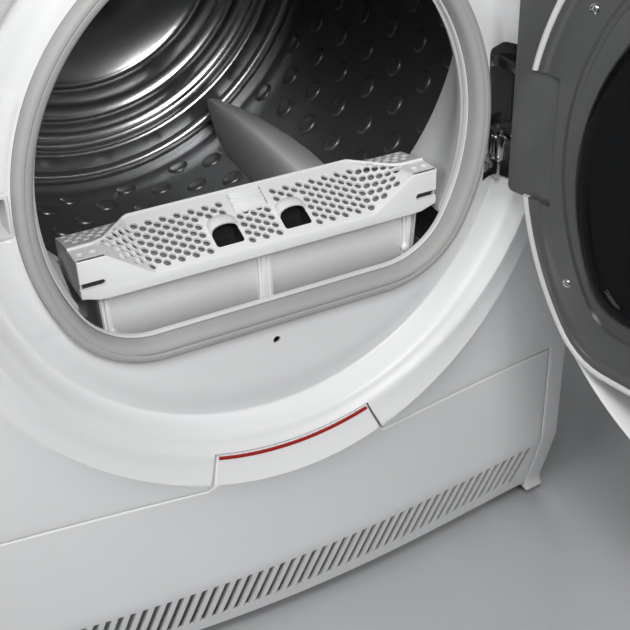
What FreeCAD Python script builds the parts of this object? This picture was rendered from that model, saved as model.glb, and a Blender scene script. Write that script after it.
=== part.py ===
import FreeCAD, Part
import math
import os

# Clothes dryer, front loading, with the door open and the lint filter lifted.
# Millimetres. Casing frame: X to the right, Y backwards from the middle of the front face,
# Z up from the floor. Every shape is shifted by ROW_SHIFT when it is written, so that the
# row's origin is on the floor under the middle of the whole dryer with its door open.

V = FreeCAD.Vector
ROW_SHIFT = V(-7.9, -79.8, 0)

# ---- casing ----
HALF = 298.0            # half the casing's width
HEIGHT = 850.0
REAR = 636.0            # rear panel's outer face
BASE_Z = 12.0           # underside of the casing
TRAY_TOP = 92.0
FRONT_TOP = 715.0       # top edge of the front panel
CONTROL_Z = (717.0, 818.0)
COVER_Z = 820.0
SHEET = 1.0             # steel sheet
WALL = 3.0              # moulded wall
BOW = (36.12, 11.47)    # front face: y = 36.12 u - 11.47 u^2, with u = (x / HALF)^2

# ---- door opening and dish ----
ZC = 449.0              # middle of the door opening
RIDGE_R = 236.4
FLOOR_R = 217.0
SEAL_OUT = (188.4, 317.4, 82.4)     # D shape: radius, flat bottom's z, corner radius
SEAL_IN = (174.9, 333.5, 62.6)
SEAL_Y = (11.5, 28.0)

# ---- drum ----
DRUM_Z = 528.0
DRUM_R = 275.0
DRUM_Y = (93.6, 470.0)
MOUTH_R = 208.0
COLLAR_END = 85.0
LIFTER_ANGLE = 33.0     # first lifter, from straight down towards +X

# ---- flap ----
FLAP_HALF = 276.5
FLAP_TOP = 195.6
FLAP_AXIS = (46.0, 34.0)            # y, z
TAB_HALF = (78.4, 68.6)             # bottom and top

# ---- door ----
HINGE = (222.0, -38.5)              # x, y of the door's pin
DOOR_OPEN = 99.5                    # degrees at rest
DOOR_R = 244.0
PLUG_FACE_Y = 16.0
PLUG = (167.0, 349.3, 36.0)

# ---- lint filter ----
LIFT = 74.0                         # how far it is raised at rest
FILTER_HALF = 149.0
FILTER_Y = (30.4, 80.4)

# ---- drive ----
MOTOR = (205.0, 122.0)              # x, z
PULLEY_R = 6.0
IDLER = (128.0, 168.0)
IDLER_R = 14.0
BELT_Y = (270.0, 282.0)
BELT_T = 2.2
ROLLER_R = 32.0
ROLLER_ANGLE = 38.0


# ---------- helpers ----------
def box(x, y, z):
    return Part.makeBox(x[1] - x[0], y[1] - y[0], z[1] - z[0], V(x[0], y[0], z[0]))


def rod_x(y, z, radius, x):
    return Part.makeCylinder(radius, x[1] - x[0], V(x[0], y, z), V(1, 0, 0))


def rod_y(x, z, radius, y):
    return Part.makeCylinder(radius, y[1] - y[0], V(x, y[0], z), V(0, 1, 0))


def rod_z(x, y, radius, z):
    return Part.makeCylinder(radius, z[1] - z[0], V(x, y, z[0]), V(0, 0, 1))


def spin(profile, x, z):
    """Solid of revolution about the Y line through x, z; the profile is (radius, y) points."""
    points = [V(x + r, y, z) for r, y in profile]
    face = Part.Face(Part.makePolygon(points + points[:1]))
    return face.revolve(V(x, 0, z), V(0, 1, 0), 360)


def prism_xz(points, y):
    wire = Part.makePolygon([V(px, y[0], pz) for px, pz in points + points[:1]])
    return Part.Face(wire).extrude(V(0, y[1] - y[0], 0))


def prism_yz(points, x):
    wire = Part.makePolygon([V(x[0], py, pz) for py, pz in points + points[:1]])
    return Part.Face(wire).extrude(V(x[1] - x[0], 0, 0))


def mirror_x(shape):
    return shape.mirror(V(0, 0, 0), V(1, 0, 0))


def join(shapes):
    return shapes[0].multiFuse(shapes[1:]) if len(shapes) > 1 else shapes[0]


def minus(shape, *tools):
    return shape.cut(list(tools)) if len(tools) > 1 else shape.cut(tools[0])


def bow(x):
    u = (x / HALF) ** 2
    return BOW[0] * u - BOW[1] * u * u


def bow_edge(x, z, push):
    count = 9
    xs = [x[0] + (x[1] - x[0]) * i / (count - 1) for i in range(count)]
    curve = Part.BSplineCurve()
    curve.interpolate([V(px, bow(px) + push, z) for px in xs])
    return curve.toShape()


def bowed_slab(x, levels, thickness):
    """A wall that follows the bowed front; levels are (z, how far it is set back)."""
    wires = []
    for z, push in levels:
        front = bow_edge(x, z, push)
        back = bow_edge(x, z, push + thickness)
        sides = [Part.makeLine(V(e, bow(e) + push, z), V(e, bow(e) + push + thickness, z)) for e in x]
        wires.append(Part.Wire(Part.sortEdges([front, sides[1], back, sides[0]])[0]))
    return Part.makeLoft(wires, True, True)


def bowed_block(x, z, y_flat):
    """Everything between the bowed front surface and the flat plane y_flat."""
    front = bow_edge(x, z[0], 0)
    ends = [V(e, bow(e), z[0]) for e in x]
    flats = [V(e, y_flat, z[0]) for e in x]
    edges = [front, Part.makeLine(ends[1], flats[1]), Part.makeLine(flats[1], flats[0]),
             Part.makeLine(flats[0], ends[0])]
    return Part.Face(Part.Wire(Part.sortEdges(edges)[0])).extrude(V(0, 0, z[1] - z[0]))


def d_corner(shape):
    radius, bottom, corner = shape
    return math.sqrt((radius - corner) ** 2 - (ZC - bottom - corner) ** 2)


def d_prism(shape, y):
    """Prism with a D outline: a circle about the opening's middle with a flat bottom."""
    radius, bottom, corner = shape
    cx = d_corner(shape)
    cz = bottom + corner
    reach = radius / (radius - corner)
    tx, tz = cx * reach, ZC + (cz - ZC) * reach
    turn = (math.atan2(tx - cx, -(tz - cz))) / 2
    mx, mz = cx + corner * math.sin(turn), cz - corner * math.cos(turn)

    def at(px, pz):
        return V(px, y[0], pz)

    edges = [
        Part.makeLine(at(-cx, bottom), at(cx, bottom)),
        Part.Arc(at(cx, bottom), at(mx, mz), at(tx, tz)).toShape(),
        Part.Arc(at(tx, tz), at(0, ZC + radius), at(-tx, tz)).toShape(),
        Part.Arc(at(-tx, tz), at(-mx, mz), at(-cx, bottom)).toShape(),
    ]
    return Part.Face(Part.Wire(edges)).extrude(V(0, y[1] - y[0], 0))


def d_radius(angle, shape):
    """Distance from the opening's middle to the D outline, angle from straight up."""
    radius, bottom, corner = shape
    cx = d_corner(shape)
    cz = bottom + corner
    turned = abs((angle + math.pi) % (2 * math.pi) - math.pi)
    if turned <= math.atan2(cx, cz - ZC):
        return radius
    if turned >= math.atan2(cx, bottom - ZC):
        return (bottom - ZC) / math.cos(turned)
    along = cx * math.sin(turned) + (cz - ZC) * math.cos(turned)
    across = cx ** 2 + (cz - ZC) ** 2 - along ** 2
    return along + math.sqrt(corner ** 2 - across)


def round_loft(sections):
    """Loft through closed outlines; each is (function of the angle giving x and z, y)."""
    count = 48
    wires = []
    for outline, y in sections:
        points = []
        for i in range(count):
            px, pz = outline(2 * math.pi * i / count)
            points.append(V(px, y, pz))
        curve = Part.BSplineCurve()
        curve.interpolate(points, True)
        wires.append(Part.Wire(curve.toShape()))
    return Part.makeLoft(wires, True, True)


def d_outline(shape):
    def outline(angle):
        r = d_radius(angle, shape)
        return r * math.sin(angle), ZC + r * math.cos(angle)
    return outline


def circle_outline(radius, z):
    def outline(angle):
        return radius * math.sin(angle), z + radius * math.cos(angle)
    return outline


def turned(shape, x, y, degrees):
    copy = shape.copy()
    copy.rotate(V(x, y, 0), V(0, 0, 1), degrees)
    return copy


def lifted(shape, height):
    copy = shape.copy()
    copy.translate(V(0, 0, height))
    return copy


# ---------- casing ----------
FOOT_AT = [(x, y) for x in (-245, 245) for y in (96, 590)]


def base_tray():
    edge = HALF - SHEET - 0.2
    tray = minus(box((-edge, edge), (64, 628), (BASE_Z, TRAY_TOP)),
                 box((-edge + 4, edge - 4), (68, 624), (BASE_Z + 4, TRAY_TOP + 1)),
                 box((-200, 200), (60, 70), (40, TRAY_TOP + 1)))
    bosses = [rod_z(x, y, 14, (BASE_Z + 2, 38)) for x, y in FOOT_AT]
    holes = [rod_z(x, y, 5.06, (BASE_Z - 1, 34)) for x, y in FOOT_AT]
    return minus(join([tray] + bosses), *holes)


def levelling_feet():
    feet = []
    for x, y in FOOT_AT:
        pad = rod_z(x, y, 21, (0, 9))
        stem = rod_z(x, y, 5, (9, 32))
        feet.append(pad.fuse(stem))
    return Part.makeCompound(feet)


def left_side_panel():
    skin = box((-HALF, -HALF + SHEET), (56.4, 634.2), (BASE_Z, CONTROL_Z[1]))
    front_flange = box((-HALF, -HALF + 14), (56.4, 57.4), (TRAY_TOP + 2, FRONT_TOP))
    rear_flange = box((-HALF, -HALF + 20), (633.2, 634.2), (TRAY_TOP + 2, CONTROL_Z[1]))
    return join([skin, front_flange, rear_flange])


def rear_panel():
    plate = box((-HALF + 1.4, HALF - 1.4), (634.8, REAR), (TRAY_TOP + 1, CONTROL_Z[1]))
    slots = [box((-210 + 34 * i, -210 + 34 * i + 22), (630, 640), (700, 704)) for i in range(13)]
    slots += [s.translated(V(0, 0, dz)) for s in slots for dz in (12, 24)]
    hole = rod_y(235, 140, 9.2, (630, 640))
    drain = rod_y(-235, 140, 9.2, (630, 640))
    return minus(plate, hole, drain, *slots)


def top_cover():
    slab = bowed_block((-HALF, HALF), (COVER_Z, HEIGHT), REAR)
    hollow = box((-290, 290), (44, 630), (COVER_Z - 1, HEIGHT - 6))
    return minus(slab, hollow)


FRONT_LEVELS = [(BASE_Z, 14.5), (41.0, 10.1), (78.0, 3.1), (104.0, 0.0), (FRONT_TOP, 0.0)]
DISH = [(RIDGE_R, 3.4), (230.0, 9.0), (224.0, 12.0), (FLOOR_R, 32.8), (195.0, 22.0), (120.0, 20.0),
        (120.0, 23.0), (194.0, 25.2), (219.5, 37.5), (227.0, 15.5), (236.0, 12.0), (262.0, 27.5),
        (262.0, 22.0)]
HINGE_POCKET = ((188.0, 231.5), (-2.0, 62.0), (384.0, 500.0))
STRIKE_HOLE = ((-211.0, -189.2), (10.0, 60.0), (442.0, 474.0))


def tab_outline(half_bottom, half_top, arc_r, z_bottom, y):
    z_top = ZC - math.sqrt(arc_r ** 2 - half_top ** 2)
    a = V(-half_bottom, y[0], z_bottom)
    b = V(-half_top, y[0], z_top)
    c = V(half_top, y[0], z_top)
    d = V(half_bottom, y[0], z_bottom)
    arc = Part.Arc(b, V(0, y[0], ZC - arc_r), c).toShape()
    wire = Part.Wire([Part.makeLine(a, b), arc, Part.makeLine(c, d), Part.makeLine(d, a)])
    return Part.Face(wire).extrude(V(0, y[1] - y[0], 0))


def front_panel():
    slab = bowed_slab((-HALF, HALF), FRONT_LEVELS, WALL)
    slab = minus(slab, rod_y(0, ZC, 238, (-50, 90)))
    returns = []
    for side in (-1, 1):
        outline = [(bow(HALF) + push + 1.0, z) for z, push in FRONT_LEVELS]
        outline += [(56.0, FRONT_TOP), (56.0, BASE_Z)]
        flange = prism_yz(outline, (HALF - WALL, HALF))
        returns.append(flange if side > 0 else mirror_x(flange))
    ahead = bowed_block((-HALF, HALF), (BASE_Z, FRONT_TOP), -60)
    rim = minus(spin([(RIDGE_R, -10), (242, -10), (242, 12), (RIDGE_R, 12)], 0, ZC), ahead)
    dish = spin(DISH, 0, ZC)
    panel = join([slab, rim, dish] + returns)
    flap_gap = box((-277.6, 277.6), (-60, 56), (BASE_Z - 1, 197.0))
    tab_gap = tab_outline(80.2, 69.7, RIDGE_R + 0.6, 195.0, (-30, 34))
    seal_hole = d_prism((SEAL_OUT[0] + 0.3, SEAL_OUT[1] - 0.3, SEAL_OUT[2] + 0.3), (-30, 80))
    return minus(panel, flap_gap, tab_gap, seal_hole, box(*HINGE_POCKET), box(*STRIKE_HOLE),
                 duct_solid(0.2, 5.0))


def hinge_cover_plate():
    """Blank plate over the spare hinge place, on the dish's floor at the left."""
    ring = spin([(193.5, 20.2), (213.5, 30.0), (213.5, 28.6), (193.5, 18.9)], 0, ZC)
    side = prism_xz([(0, ZC), (-300, ZC + 195), (-300, ZC - 175)], (0, 60))
    plate = ring.common(side)
    return minus(plate, box((-214, -186), (0, 60), (439, 477)))


def latch_strike():
    x, _, z = STRIKE_HOLE
    return minus(box(x, (22, 43), z), box((x[0] + 2, x[1] - 2), (20, 41), (z[0] + 2, z[1] - 2)))


def control_panel():
    levels = [(CONTROL_Z[0], 0.0), (CONTROL_Z[1], 0.0)]
    slab = bowed_slab((-HALF, HALF), levels, WALL)
    returns = [box((HALF - WALL, HALF), (bow(HALF) + 1, 56.0), CONTROL_Z)]
    returns.append(mirror_x(returns[0]))
    panel = join([slab] + returns)
    holes = [box(CONTAINER_X, (-20, 80), CONTAINER_Z), box(DISPLAY_X, (-20, 40), DISPLAY_Z)]
    holes.append(rod_y(KNOB_X, KNOB_Z, 5.0, (-20, 40)))
    for bx in BUTTON_X:
        holes.append(box((bx - 12.5, bx + 12.5), (-20, 40), (KNOB_Z - 7.5, KNOB_Z + 7.5)))
    return minus(panel, *holes)


CONTAINER_X = (-291.0, -119.0)
CONTAINER_Z = (723.0, 813.0)
DISPLAY_X = (60.0, 200.0)
DISPLAY_Z = (742.0, 794.0)
KNOB_X = -40.0
KNOB_Z = 768.0
BUTTON_X = (20.0, 240.0)


def display_lens():
    slab = bowed_slab((-HALF, HALF), [(CONTROL_Z[0], 0.3), (CONTROL_Z[1], 0.3)], 2.2)
    return slab.common(box((DISPLAY_X[0] + 0.2, DISPLAY_X[1] - 0.2), (-20, 40),
                           (DISPLAY_Z[0] + 0.2, DISPLAY_Z[1] - 0.2)))


def control_board():
    board = box((-92, 268), (34, 36), (730, 806))
    encoder = minus(rod_y(KNOB_X, KNOB_Z, 11, (24, 34)), rod_y(KNOB_X, KNOB_Z, 3.05, (20, 34)))
    relays = [box((80 + 34 * i, 104 + 34 * i), (36, 52), (742, 760)) for i in range(5)]
    return join([board, encoder] + relays)


def program_knob():
    front = bow(KNOB_X)
    profile = [(0, -24), (24.5, -24), (27, -21.5), (28, front - 1.0), (0, front - 1.0)]
    knob = spin(profile, KNOB_X, KNOB_Z)
    shaft = rod_y(KNOB_X, KNOB_Z, 3.0, (front - 2, 33))
    grips = [rod_y(KNOB_X + 29.2 * math.sin(a), KNOB_Z + 29.2 * math.cos(a), 2.0, (-30, 10))
             for a in [math.radians(10 * i) for i in range(36)]]
    pointer = box((KNOB_X - 1, KNOB_X + 1), (-30, -23.2), (KNOB_Z + 8, KNOB_Z + 23))
    return minus(join([knob, shaft]), pointer, *grips)


def push_button(x):
    front = bow(x)
    cap = box((x - 12.1, x + 12.1), (front - 2.4, front + 6), (KNOB_Z - 7.1, KNOB_Z + 7.1))
    stem = box((x - 2, x + 2), (front + 5, 31.5), (KNOB_Z - 2, KNOB_Z + 2))
    return cap.fuse(stem)


# ---------- water container ----------
def container_front():
    slab = bowed_slab((-HALF, HALF), [(CONTROL_Z[0], 0.0), (CONTROL_Z[1], 0.0)], WALL)
    face = slab.common(box((CONTAINER_X[0] + 0.8, CONTAINER_X[1] - 0.8), (-20, 60),
                           (CONTAINER_Z[0] + 0.8, CONTAINER_Z[1] - 0.8)))
    grip = box((-250, -160), (-20, 60), (CONTAINER_Z[0], 748))
    cup = minus(box((-253, -157), (10, 36), (CONTAINER_Z[0] + 1, 751)),
                box((-250, -160), (-20, 33), (CONTAINER_Z[0], 748)))
    return minus(face, grip).fuse(cup)


def water_container():
    body = box((-286, -156), (29, 560), (770, 808))
    inside = box((-284, -158), (32, 558), (772, 806))
    mouth = rod_z(-220, 520, 20, (800, 812))
    return minus(body, inside, mouth)


def container_shelf():
    shelf = box((-296.6, -150), (62, 600), (767, 769))
    lip = box((-152, -150), (62, 600), (767, 800))
    return shelf.fuse(lip)


# ---------- plinth flap ----------
FLAP_LEVELS = [(21.0, 19.5), (45.0, 12.2), (66.0, 6.5), (91.0, 0.0), (226.0, 0.0)]
SLOT_PITCH = 10.4
EAR_X = 258.0


def plinth_flap():
    slab = bowed_slab((-FLAP_HALF, FLAP_HALF), FLAP_LEVELS, WALL)
    lower = box((-FLAP_HALF, FLAP_HALF), (-40, 70), (20, FLAP_TOP))
    tab = tab_outline(TAB_HALF[0], TAB_HALF[1], RIDGE_R + 1.6, 190.0, (-30, 34))
    flap = slab.common(lower.fuse(tab))
    slots = []
    count = int(2 * 250 / SLOT_PITCH)
    for i in range(count + 1):
        x = -250 + SLOT_PITCH * i
        slots.append(prism_xz([(x, 36), (x + 4, 36), (x + 16, 84), (x + 12, 84)], (-40, 70)))
    y, z = FLAP_AXIS
    ears = []
    for side in (-1, 1):
        span = sorted((side * EAR_X, side * (EAR_X + 10)))
        arm = box(span, (36, y + 2), (z - 5, z + 5))
        eye = rod_x(y, z, 7, span)
        ears.append(minus(arm.fuse(eye), rod_x(y, z, 3.05, (span[0] - 1, span[1] + 1))))
    ahead = bowed_slab((-FLAP_HALF, FLAP_HALF), [(z, p - 30) for z, p in FLAP_LEVELS], 30)
    ears = [minus(e, ahead) for e in ears]
    return minus(join([flap] + ears), strip_solid(0.0), *slots)


def strip_solid(inset):
    ring = spin([(RIDGE_R + 1.6, -2), (RIDGE_R + 4.4, -2), (RIDGE_R + 4.4, 1.6), (RIDGE_R + 1.6, 1.6)],
                0, ZC)
    keep = box((-66 + inset, 66 - inset), (-10, 20), (195, 240))
    return ring.common(keep)


def accent_strip():
    return strip_solid(0.2)


def flap_pins():
    y, z = FLAP_AXIS
    pins = [rod_x(y, z, 3.0, (EAR_X - 3, HALF - WALL))]
    pins.append(mirror_x(pins[0]))
    blocks = [box((HALF - WALL - 14, HALF - WALL), (y - 3.5, 56), (z - 6, z + 6))]
    blocks.append(mirror_x(blocks[0]))
    return Part.makeCompound([pins[0].fuse(blocks[0]), pins[1].fuse(blocks[1])])


# ---------- door opening ----------
def door_seal():
    ring = minus(d_prism(SEAL_OUT, SEAL_Y), d_prism(SEAL_IN, (0, 60)))
    groove = minus(d_prism((185.0, 322.0, 78.0), (5, 15.5)), d_prism((179.0, 329.0, 68.0), (0, 60)))
    return minus(ring, groove)


def front_shroud():
    """Collar from the seal to the drum's mouth, with the slot for the lint filter."""
    front = ((176.0, 332.4, 63.0), (180.0, 328.4, 66.0))
    inner = round_loft([(d_outline(front[0]), 28.2), (circle_outline(MOUTH_R, DRUM_Z), COLLAR_END)])
    outer = round_loft([(d_outline(front[1]), 28.2),
                        (circle_outline(MOUTH_R + WALL, DRUM_Z), COLLAR_END)])
    flange = spin([(MOUTH_R + 1.5, 83.6), (232, 83.6), (232, 88), (MOUTH_R + 1.5, 88)], 0, DRUM_Z)
    slot = box((-152.8, 152.8), (20, 83.4), (250, 392))
    return join([minus(outer, inner, slot), flange])


DUCT_OUT = [(152.6, 331), (152.6, 312), (139, 303), (131, 245), (131, 120)]
DUCT_SIDE = [(28.3, 331), (28.3, 302), (41.4, 287), (41.4, 120), (82.9, 120), (82.9, 331)]


def both_sides(points):
    """A right-hand outline completed with its mirror image."""
    return points + [(-x, z) for x, z in reversed(points)]


def duct_solid(grow, over):
    """The duct's outer shape, grown by grow and carried up by over."""
    front = [(x + grow, z + (over if z == 331 else 0)) for x, z in DUCT_OUT]
    side = [(y + (grow if y > 60 else -grow), z + (over if z == 331 else 0)) for y, z in DUCT_SIDE]
    if grow < 0:
        front[-1] = (front[-1][0], 100)
        side = [(y, 100 if z == 120 else z) for y, z in side]
    return prism_xz(both_sides(front), (20, 90)).common(prism_yz(side, (-170, 170)))


def filter_duct():
    """Air duct under the collar, in which the lint filter hangs."""
    return minus(duct_solid(0.0, 0.0), duct_solid(-1.4, 5.0))


def front_bulkhead():
    plate = box((-296.6, 296.6), (88.2, 89.4), (TRAY_TOP + 1, FRONT_TOP + 40))
    holes = [rod_y(0, DRUM_Z, 209, (80, 100)), box((-120, 120), (80, 100), (80, 190))]
    for side in (-1, 1):
        x, z = roller_at(side)
        holes.append(rod_y(x, z, 3.5, (80, 100)))
    return minus(plate, *holes)


# ---------- drum ----------
def drum_shell():
    lip = MOUTH_R + 7
    profile = [(lip, 93.6), (lip, 97), (268, 124.4), (DRUM_R, 135), (DRUM_R, DRUM_Y[1]),
               (DRUM_R + 1, DRUM_Y[1]), (DRUM_R + 1, 134.6), (268.8, 123.4), (lip + 1, 96.3),
               (lip + 1, 93.6)]
    return spin(profile, 0, DRUM_Z)


def drum_rear_wall():
    y = DRUM_Y[1]
    front = [(0, y - 6), (62, y - 6), (68, y - 1), (150, y - 1), (156, y + 4), (196, y + 4),
             (204, y - 1), (240, y), (DRUM_R + 1, y)]
    back = [(r, v + 1.4) for r, v in reversed(front)]
    return spin(front + back, 0, DRUM_Z)


def drum_shaft():
    flange = rod_y(0, DRUM_Z, 50, (466, 469))
    hub = rod_y(0, DRUM_Z, 30, (465.6, 492))
    shaft = rod_y(0, DRUM_Z, 12, (490, 514))
    return join([flange.common(rod_y(0, DRUM_Z, 50, (465.6, 469))), hub, shaft])


def drum_lifters():
    sections = [(170, 8, 3), (215, 26, 40), (300, 30, 58), (400, 26, 46), (462, 12, 12)]
    wires = []
    for y, half, high in sections:
        base = math.sqrt((DRUM_R - 1.2) ** 2 - half ** 2)
        points = [V(-half, y, DRUM_Z - base), V(-half * 0.3, y, DRUM_Z - base + high),
                  V(half * 0.3, y, DRUM_Z - base + high), V(half, y, DRUM_Z - base)]
        wires.append(Part.makePolygon(points + points[:1]))
    first = Part.makeLoft(wires, True, True)
    lifters = []
    for i in range(3):
        copy = first.copy()
        copy.rotate(V(0, 0, DRUM_Z), V(0, 1, 0), -LIFTER_ANGLE + 120 * i)
        lifters.append(copy)
    return Part.makeCompound(lifters)


def drum_felt():
    return spin([(MOUTH_R + 7.4, 89.5), (MOUTH_R + 20, 89.5), (MOUTH_R + 20, 93.2),
                 (MOUTH_R + 7.4, 93.2)], 0, DRUM_Z)


def rear_bulkhead():
    plate = box((-296.6, 296.6), (498, 499.2), (TRAY_TOP + 1, CONTROL_Z[1] - 60))
    boss = rod_y(0, DRUM_Z, 27, (496, 512))
    holes = [rod_y(0, DRUM_Z, 22.0, (480, 520))]
    for i in range(24):
        a = math.radians(15 * i)
        holes.append(rod_y(180 * math.sin(a), DRUM_Z + 180 * math.cos(a), 16, (480, 520)))
    return minus(plate.fuse(boss), *holes)


def drum_bearing():
    return minus(rod_y(0, DRUM_Z, 22.0, (497, 511)), rod_y(0, DRUM_Z, 12.04, (490, 520)))


def rear_duct():
    """Air duct behind the drum, down to the fan."""
    disc = rod_y(0, DRUM_Z, 214, (500, 560))
    leg = box((100, 280), (500, 560), (110, DRUM_Z))
    inner = rod_y(0, DRUM_Z, 212.8, (499, 558.8))
    inner_leg = box((101.2, 278.8), (499, 558.8), (100, DRUM_Z - 1))
    return minus(disc.fuse(leg), inner.fuse(inner_leg))


def roller_at(side):
    reach = DRUM_R + 1 + ROLLER_R + 0.15
    a = math.radians(ROLLER_ANGLE)
    return side * reach * math.sin(a), DRUM_Z - reach * math.cos(a)


def support_roller(side):
    x, z = roller_at(side)
    tyre = spin([(4.05, 138), (ROLLER_R - 1, 138), (ROLLER_R, 140), (ROLLER_R, 156),
                 (ROLLER_R - 1, 158), (4.05, 158)], x, z)
    groove = spin([(12, 137), (24, 137), (24, 142), (12, 142)], x, z)
    return minus(tyre, groove)


def roller_pins():
    pins = []
    for side in (-1, 1):
        x, z = roller_at(side)
        pin = rod_y(x, z, 4.0, (94, 160))
        collar = rod_y(x, z, 8.0, (94, 136))
        neck = rod_y(x, z, 3.5, (86, 95))
        pins.append(join([pin, collar, neck]))
    ix, iz = IDLER
    pin = rod_y(ix, iz, 4.0, (264, 310))
    arm = box((ix - 9, ix + 9), (292, 296), (BASE_Z + 4.2, iz + 10))
    pins.append(pin.fuse(arm))
    return Part.makeCompound(pins)


# ---------- drive ----------
def belt_face(circles):
    """Face bounded by the taut loop round the circles, taken clockwise seen from the front."""
    runs = []
    count = len(circles)
    for i in range(count):
        (ax, az, ar), (bx, bz, br) = circles[i], circles[(i + 1) % count]
        dx, dz = bx - ax, bz - az
        length = math.hypot(dx, dz)
        ux, uz = dx / length, dz / length
        lean = (ar - br) / length
        side = math.sqrt(1 - lean * lean)
        nx, nz = ux * lean - uz * side, uz * lean + ux * side
        runs.append(((ax + nx * ar, az + nz * ar), (bx + nx * br, bz + nz * br)))
    edges = []
    for i in range(count):
        start, end = runs[i]
        edges.append(Part.makeLine(V(start[0], 0, start[1]), V(end[0], 0, end[1])))
        after = runs[(i + 1) % count][0]
        cx, cz, r = circles[(i + 1) % count]
        a0 = math.atan2(end[0] - cx, end[1] - cz)
        a1 = math.atan2(after[0] - cx, after[1] - cz)
        sweep = (a1 - a0) % (2 * math.pi)
        mid = a0 + sweep / 2
        edges.append(Part.Arc(V(end[0], 0, end[1]), V(cx + r * math.sin(mid), 0, cz + r * math.cos(mid)),
                              V(after[0], 0, after[1])).toShape())
    return Part.Face(Part.Wire(edges))


def drive_belt():
    gap = 0.3
    loops = [(0, DRUM_Z, DRUM_R + 1), (MOTOR[0], MOTOR[1], PULLEY_R), (IDLER[0], IDLER[1], IDLER_R)]
    inner = belt_face([(x, z, r + gap) for x, z, r in loops])
    outer = belt_face([(x, z, r + gap + BELT_T) for x, z, r in loops])
    belt = outer.cut(inner).extrude(V(0, BELT_Y[1] - BELT_Y[0], 0))
    return belt.translated(V(0, BELT_Y[0], 0))


def idler_pulley():
    x, z = IDLER
    return spin([(4.05, 266), (IDLER_R + 2, 266), (IDLER_R + 2, 268), (IDLER_R, 268), (IDLER_R, 284),
                 (IDLER_R + 2, 284), (IDLER_R + 2, 286), (4.05, 286)], x, z)


def motor():
    x, z = MOTOR
    can = rod_y(x, z, 50, (302, 402))
    nose = rod_y(x, z, 20, (298, 406))
    feet = box((x - 44, x + 44), (312, 392), (BASE_Z + 4.2, z - 40))
    bore = rod_y(x, z, 6.6, (290, 410))
    vents = [box((x - 3, x + 3), (306, 330), (z + 30, z + 60)).rotated(V(x, 0, z), V(0, 1, 0), 30 * i)
             for i in range(-4, 5)]
    return minus(join([can, nose, feet]), bore, *vents)


def motor_shaft():
    x, z = MOTOR
    shaft = rod_y(x, z, 5.8, (262, 440))
    pulley = spin([(0, 264), (PULLEY_R + 2, 264), (PULLEY_R + 2, 266), (PULLEY_R, 266),
                   (PULLEY_R, 286), (PULLEY_R + 2, 286), (PULLEY_R + 2, 288), (0, 288)], x, z)
    return shaft.fuse(pulley)


def fan_wheel():
    x, z = MOTOR
    disc = rod_y(x, z, 62, (474, 477))
    hub = rod_y(x, z, 14, (430, 477))
    ring = spin([(50, 432), (62, 432), (62, 434), (50, 434)], x, z)
    blades = []
    for i in range(24):
        blade = box((x - 1, x + 1), (433, 475), (z + 46, z + 61))
        blades.append(blade.rotated(V(x, 0, z), V(0, 1, 0), 15 * i))
    bore = rod_y(x, z, 5.8, (420, 441))
    return minus(join([disc, hub, ring] + blades), bore)


def fan_housing():
    x, z = MOTOR
    outer = rod_y(x, z, 74, (424, 490)).fuse(box((x, x + 74), (424, 490), (z, z + 110)))
    inner = rod_y(x, z, 71, (427, 491)).fuse(box((x + 3, x + 71), (427, 491), (z, z + 111)))
    mouth = rod_y(x, z, 44, (420, 430))
    return minus(outer, inner, mouth)


# ---------- heat pump ----------
COMP = (-190.0, 415.0)              # compressor's middle, x and y
FIN_X = (-150.0, 60.0)


def compressor():
    can = rod_z(COMP[0], COMP[1], 58, (34, 160))
    dome = Part.makeSphere(58, V(COMP[0], COMP[1], 150), V(0, 0, 1), 0, 90, 360)
    legs = [rod_z(COMP[0] + dx, COMP[1] + dy, 12, (BASE_Z + 4.2, 40)) for dx in (-52, 52) for dy in (-52, 52)]
    plate = box((COMP[0] - 62, COMP[0] + 62), (COMP[1] - 62, COMP[1] + 62), (36, 39))
    return join([can, dome, plate] + legs)


def fin_block(y):
    """Finned heat exchanger: fins across a bundle of tubes with return bends at the right."""
    left, right = FIN_X
    block = box(FIN_X, y, (24, 178))
    grooves = [box((left + 3 + 8.0 * i, left + 8.2 + 8.0 * i), (y[0] - 1, y[1] + 1), (28, 174))
               for i in range(25)]
    rows = [44 + 28 * i for i in range(5)]
    tubes = [rod_x(v, z, 4, (left, right + 6)) for v in (y[0] + 17, y[1] - 17) for z in rows]
    bends = [box((right + 2, right + 8), (y[0] + 13, y[1] - 13), (z - 3, z + 3)) for z in rows]
    return join([minus(block, *grooves)] + tubes + bends)


# ---------- lint filter, drawn at home and lifted ----------
HOME_TOP = 333.3


def filter_top_solid(drop):
    """Everything under the filter's faceted top surface, lowered by drop."""
    y0, y1 = FILTER_Y
    h = HOME_TOP - drop
    mid = box((-160, 160), (y0 - 5, y1 + 5), (100, h))
    wedge = Part.makeLoft([
        Part.makePolygon([V(-92, y0, h - 24), V(-128, y0, h), V(128, y0, h), V(92, y0, h - 24),
                          V(-92, y0, h - 24)]),
        Part.makePolygon([V(-96.9, y1 - 2, h - 0.1), V(-97, y1 - 2, h), V(97, y1 - 2, h),
                          V(96.9, y1 - 2, h - 0.1), V(-96.9, y1 - 2, h - 0.1)])], True, True)
    ahead = prism_xz([(-92, h - 24), (-128, h), (128, h), (92, h - 24)], (y0 - 6, y0))
    return minus(mid, wedge, ahead)


FILTER_SIDE = [(FILTER_Y[0], 340), (FILTER_Y[0], 303), (43.5, 288), (43.5, 150), (78, 150),
               (FILTER_Y[1], 300), (FILTER_Y[1], 340)]
FILTER_OUT = [(-FILTER_HALF, 340), (-FILTER_HALF, 312), (-134, 306), (-126, 240), (-116, 150),
              (116, 150), (126, 240), (134, 306), (FILTER_HALF, 312), (FILTER_HALF, 340)]


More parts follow.
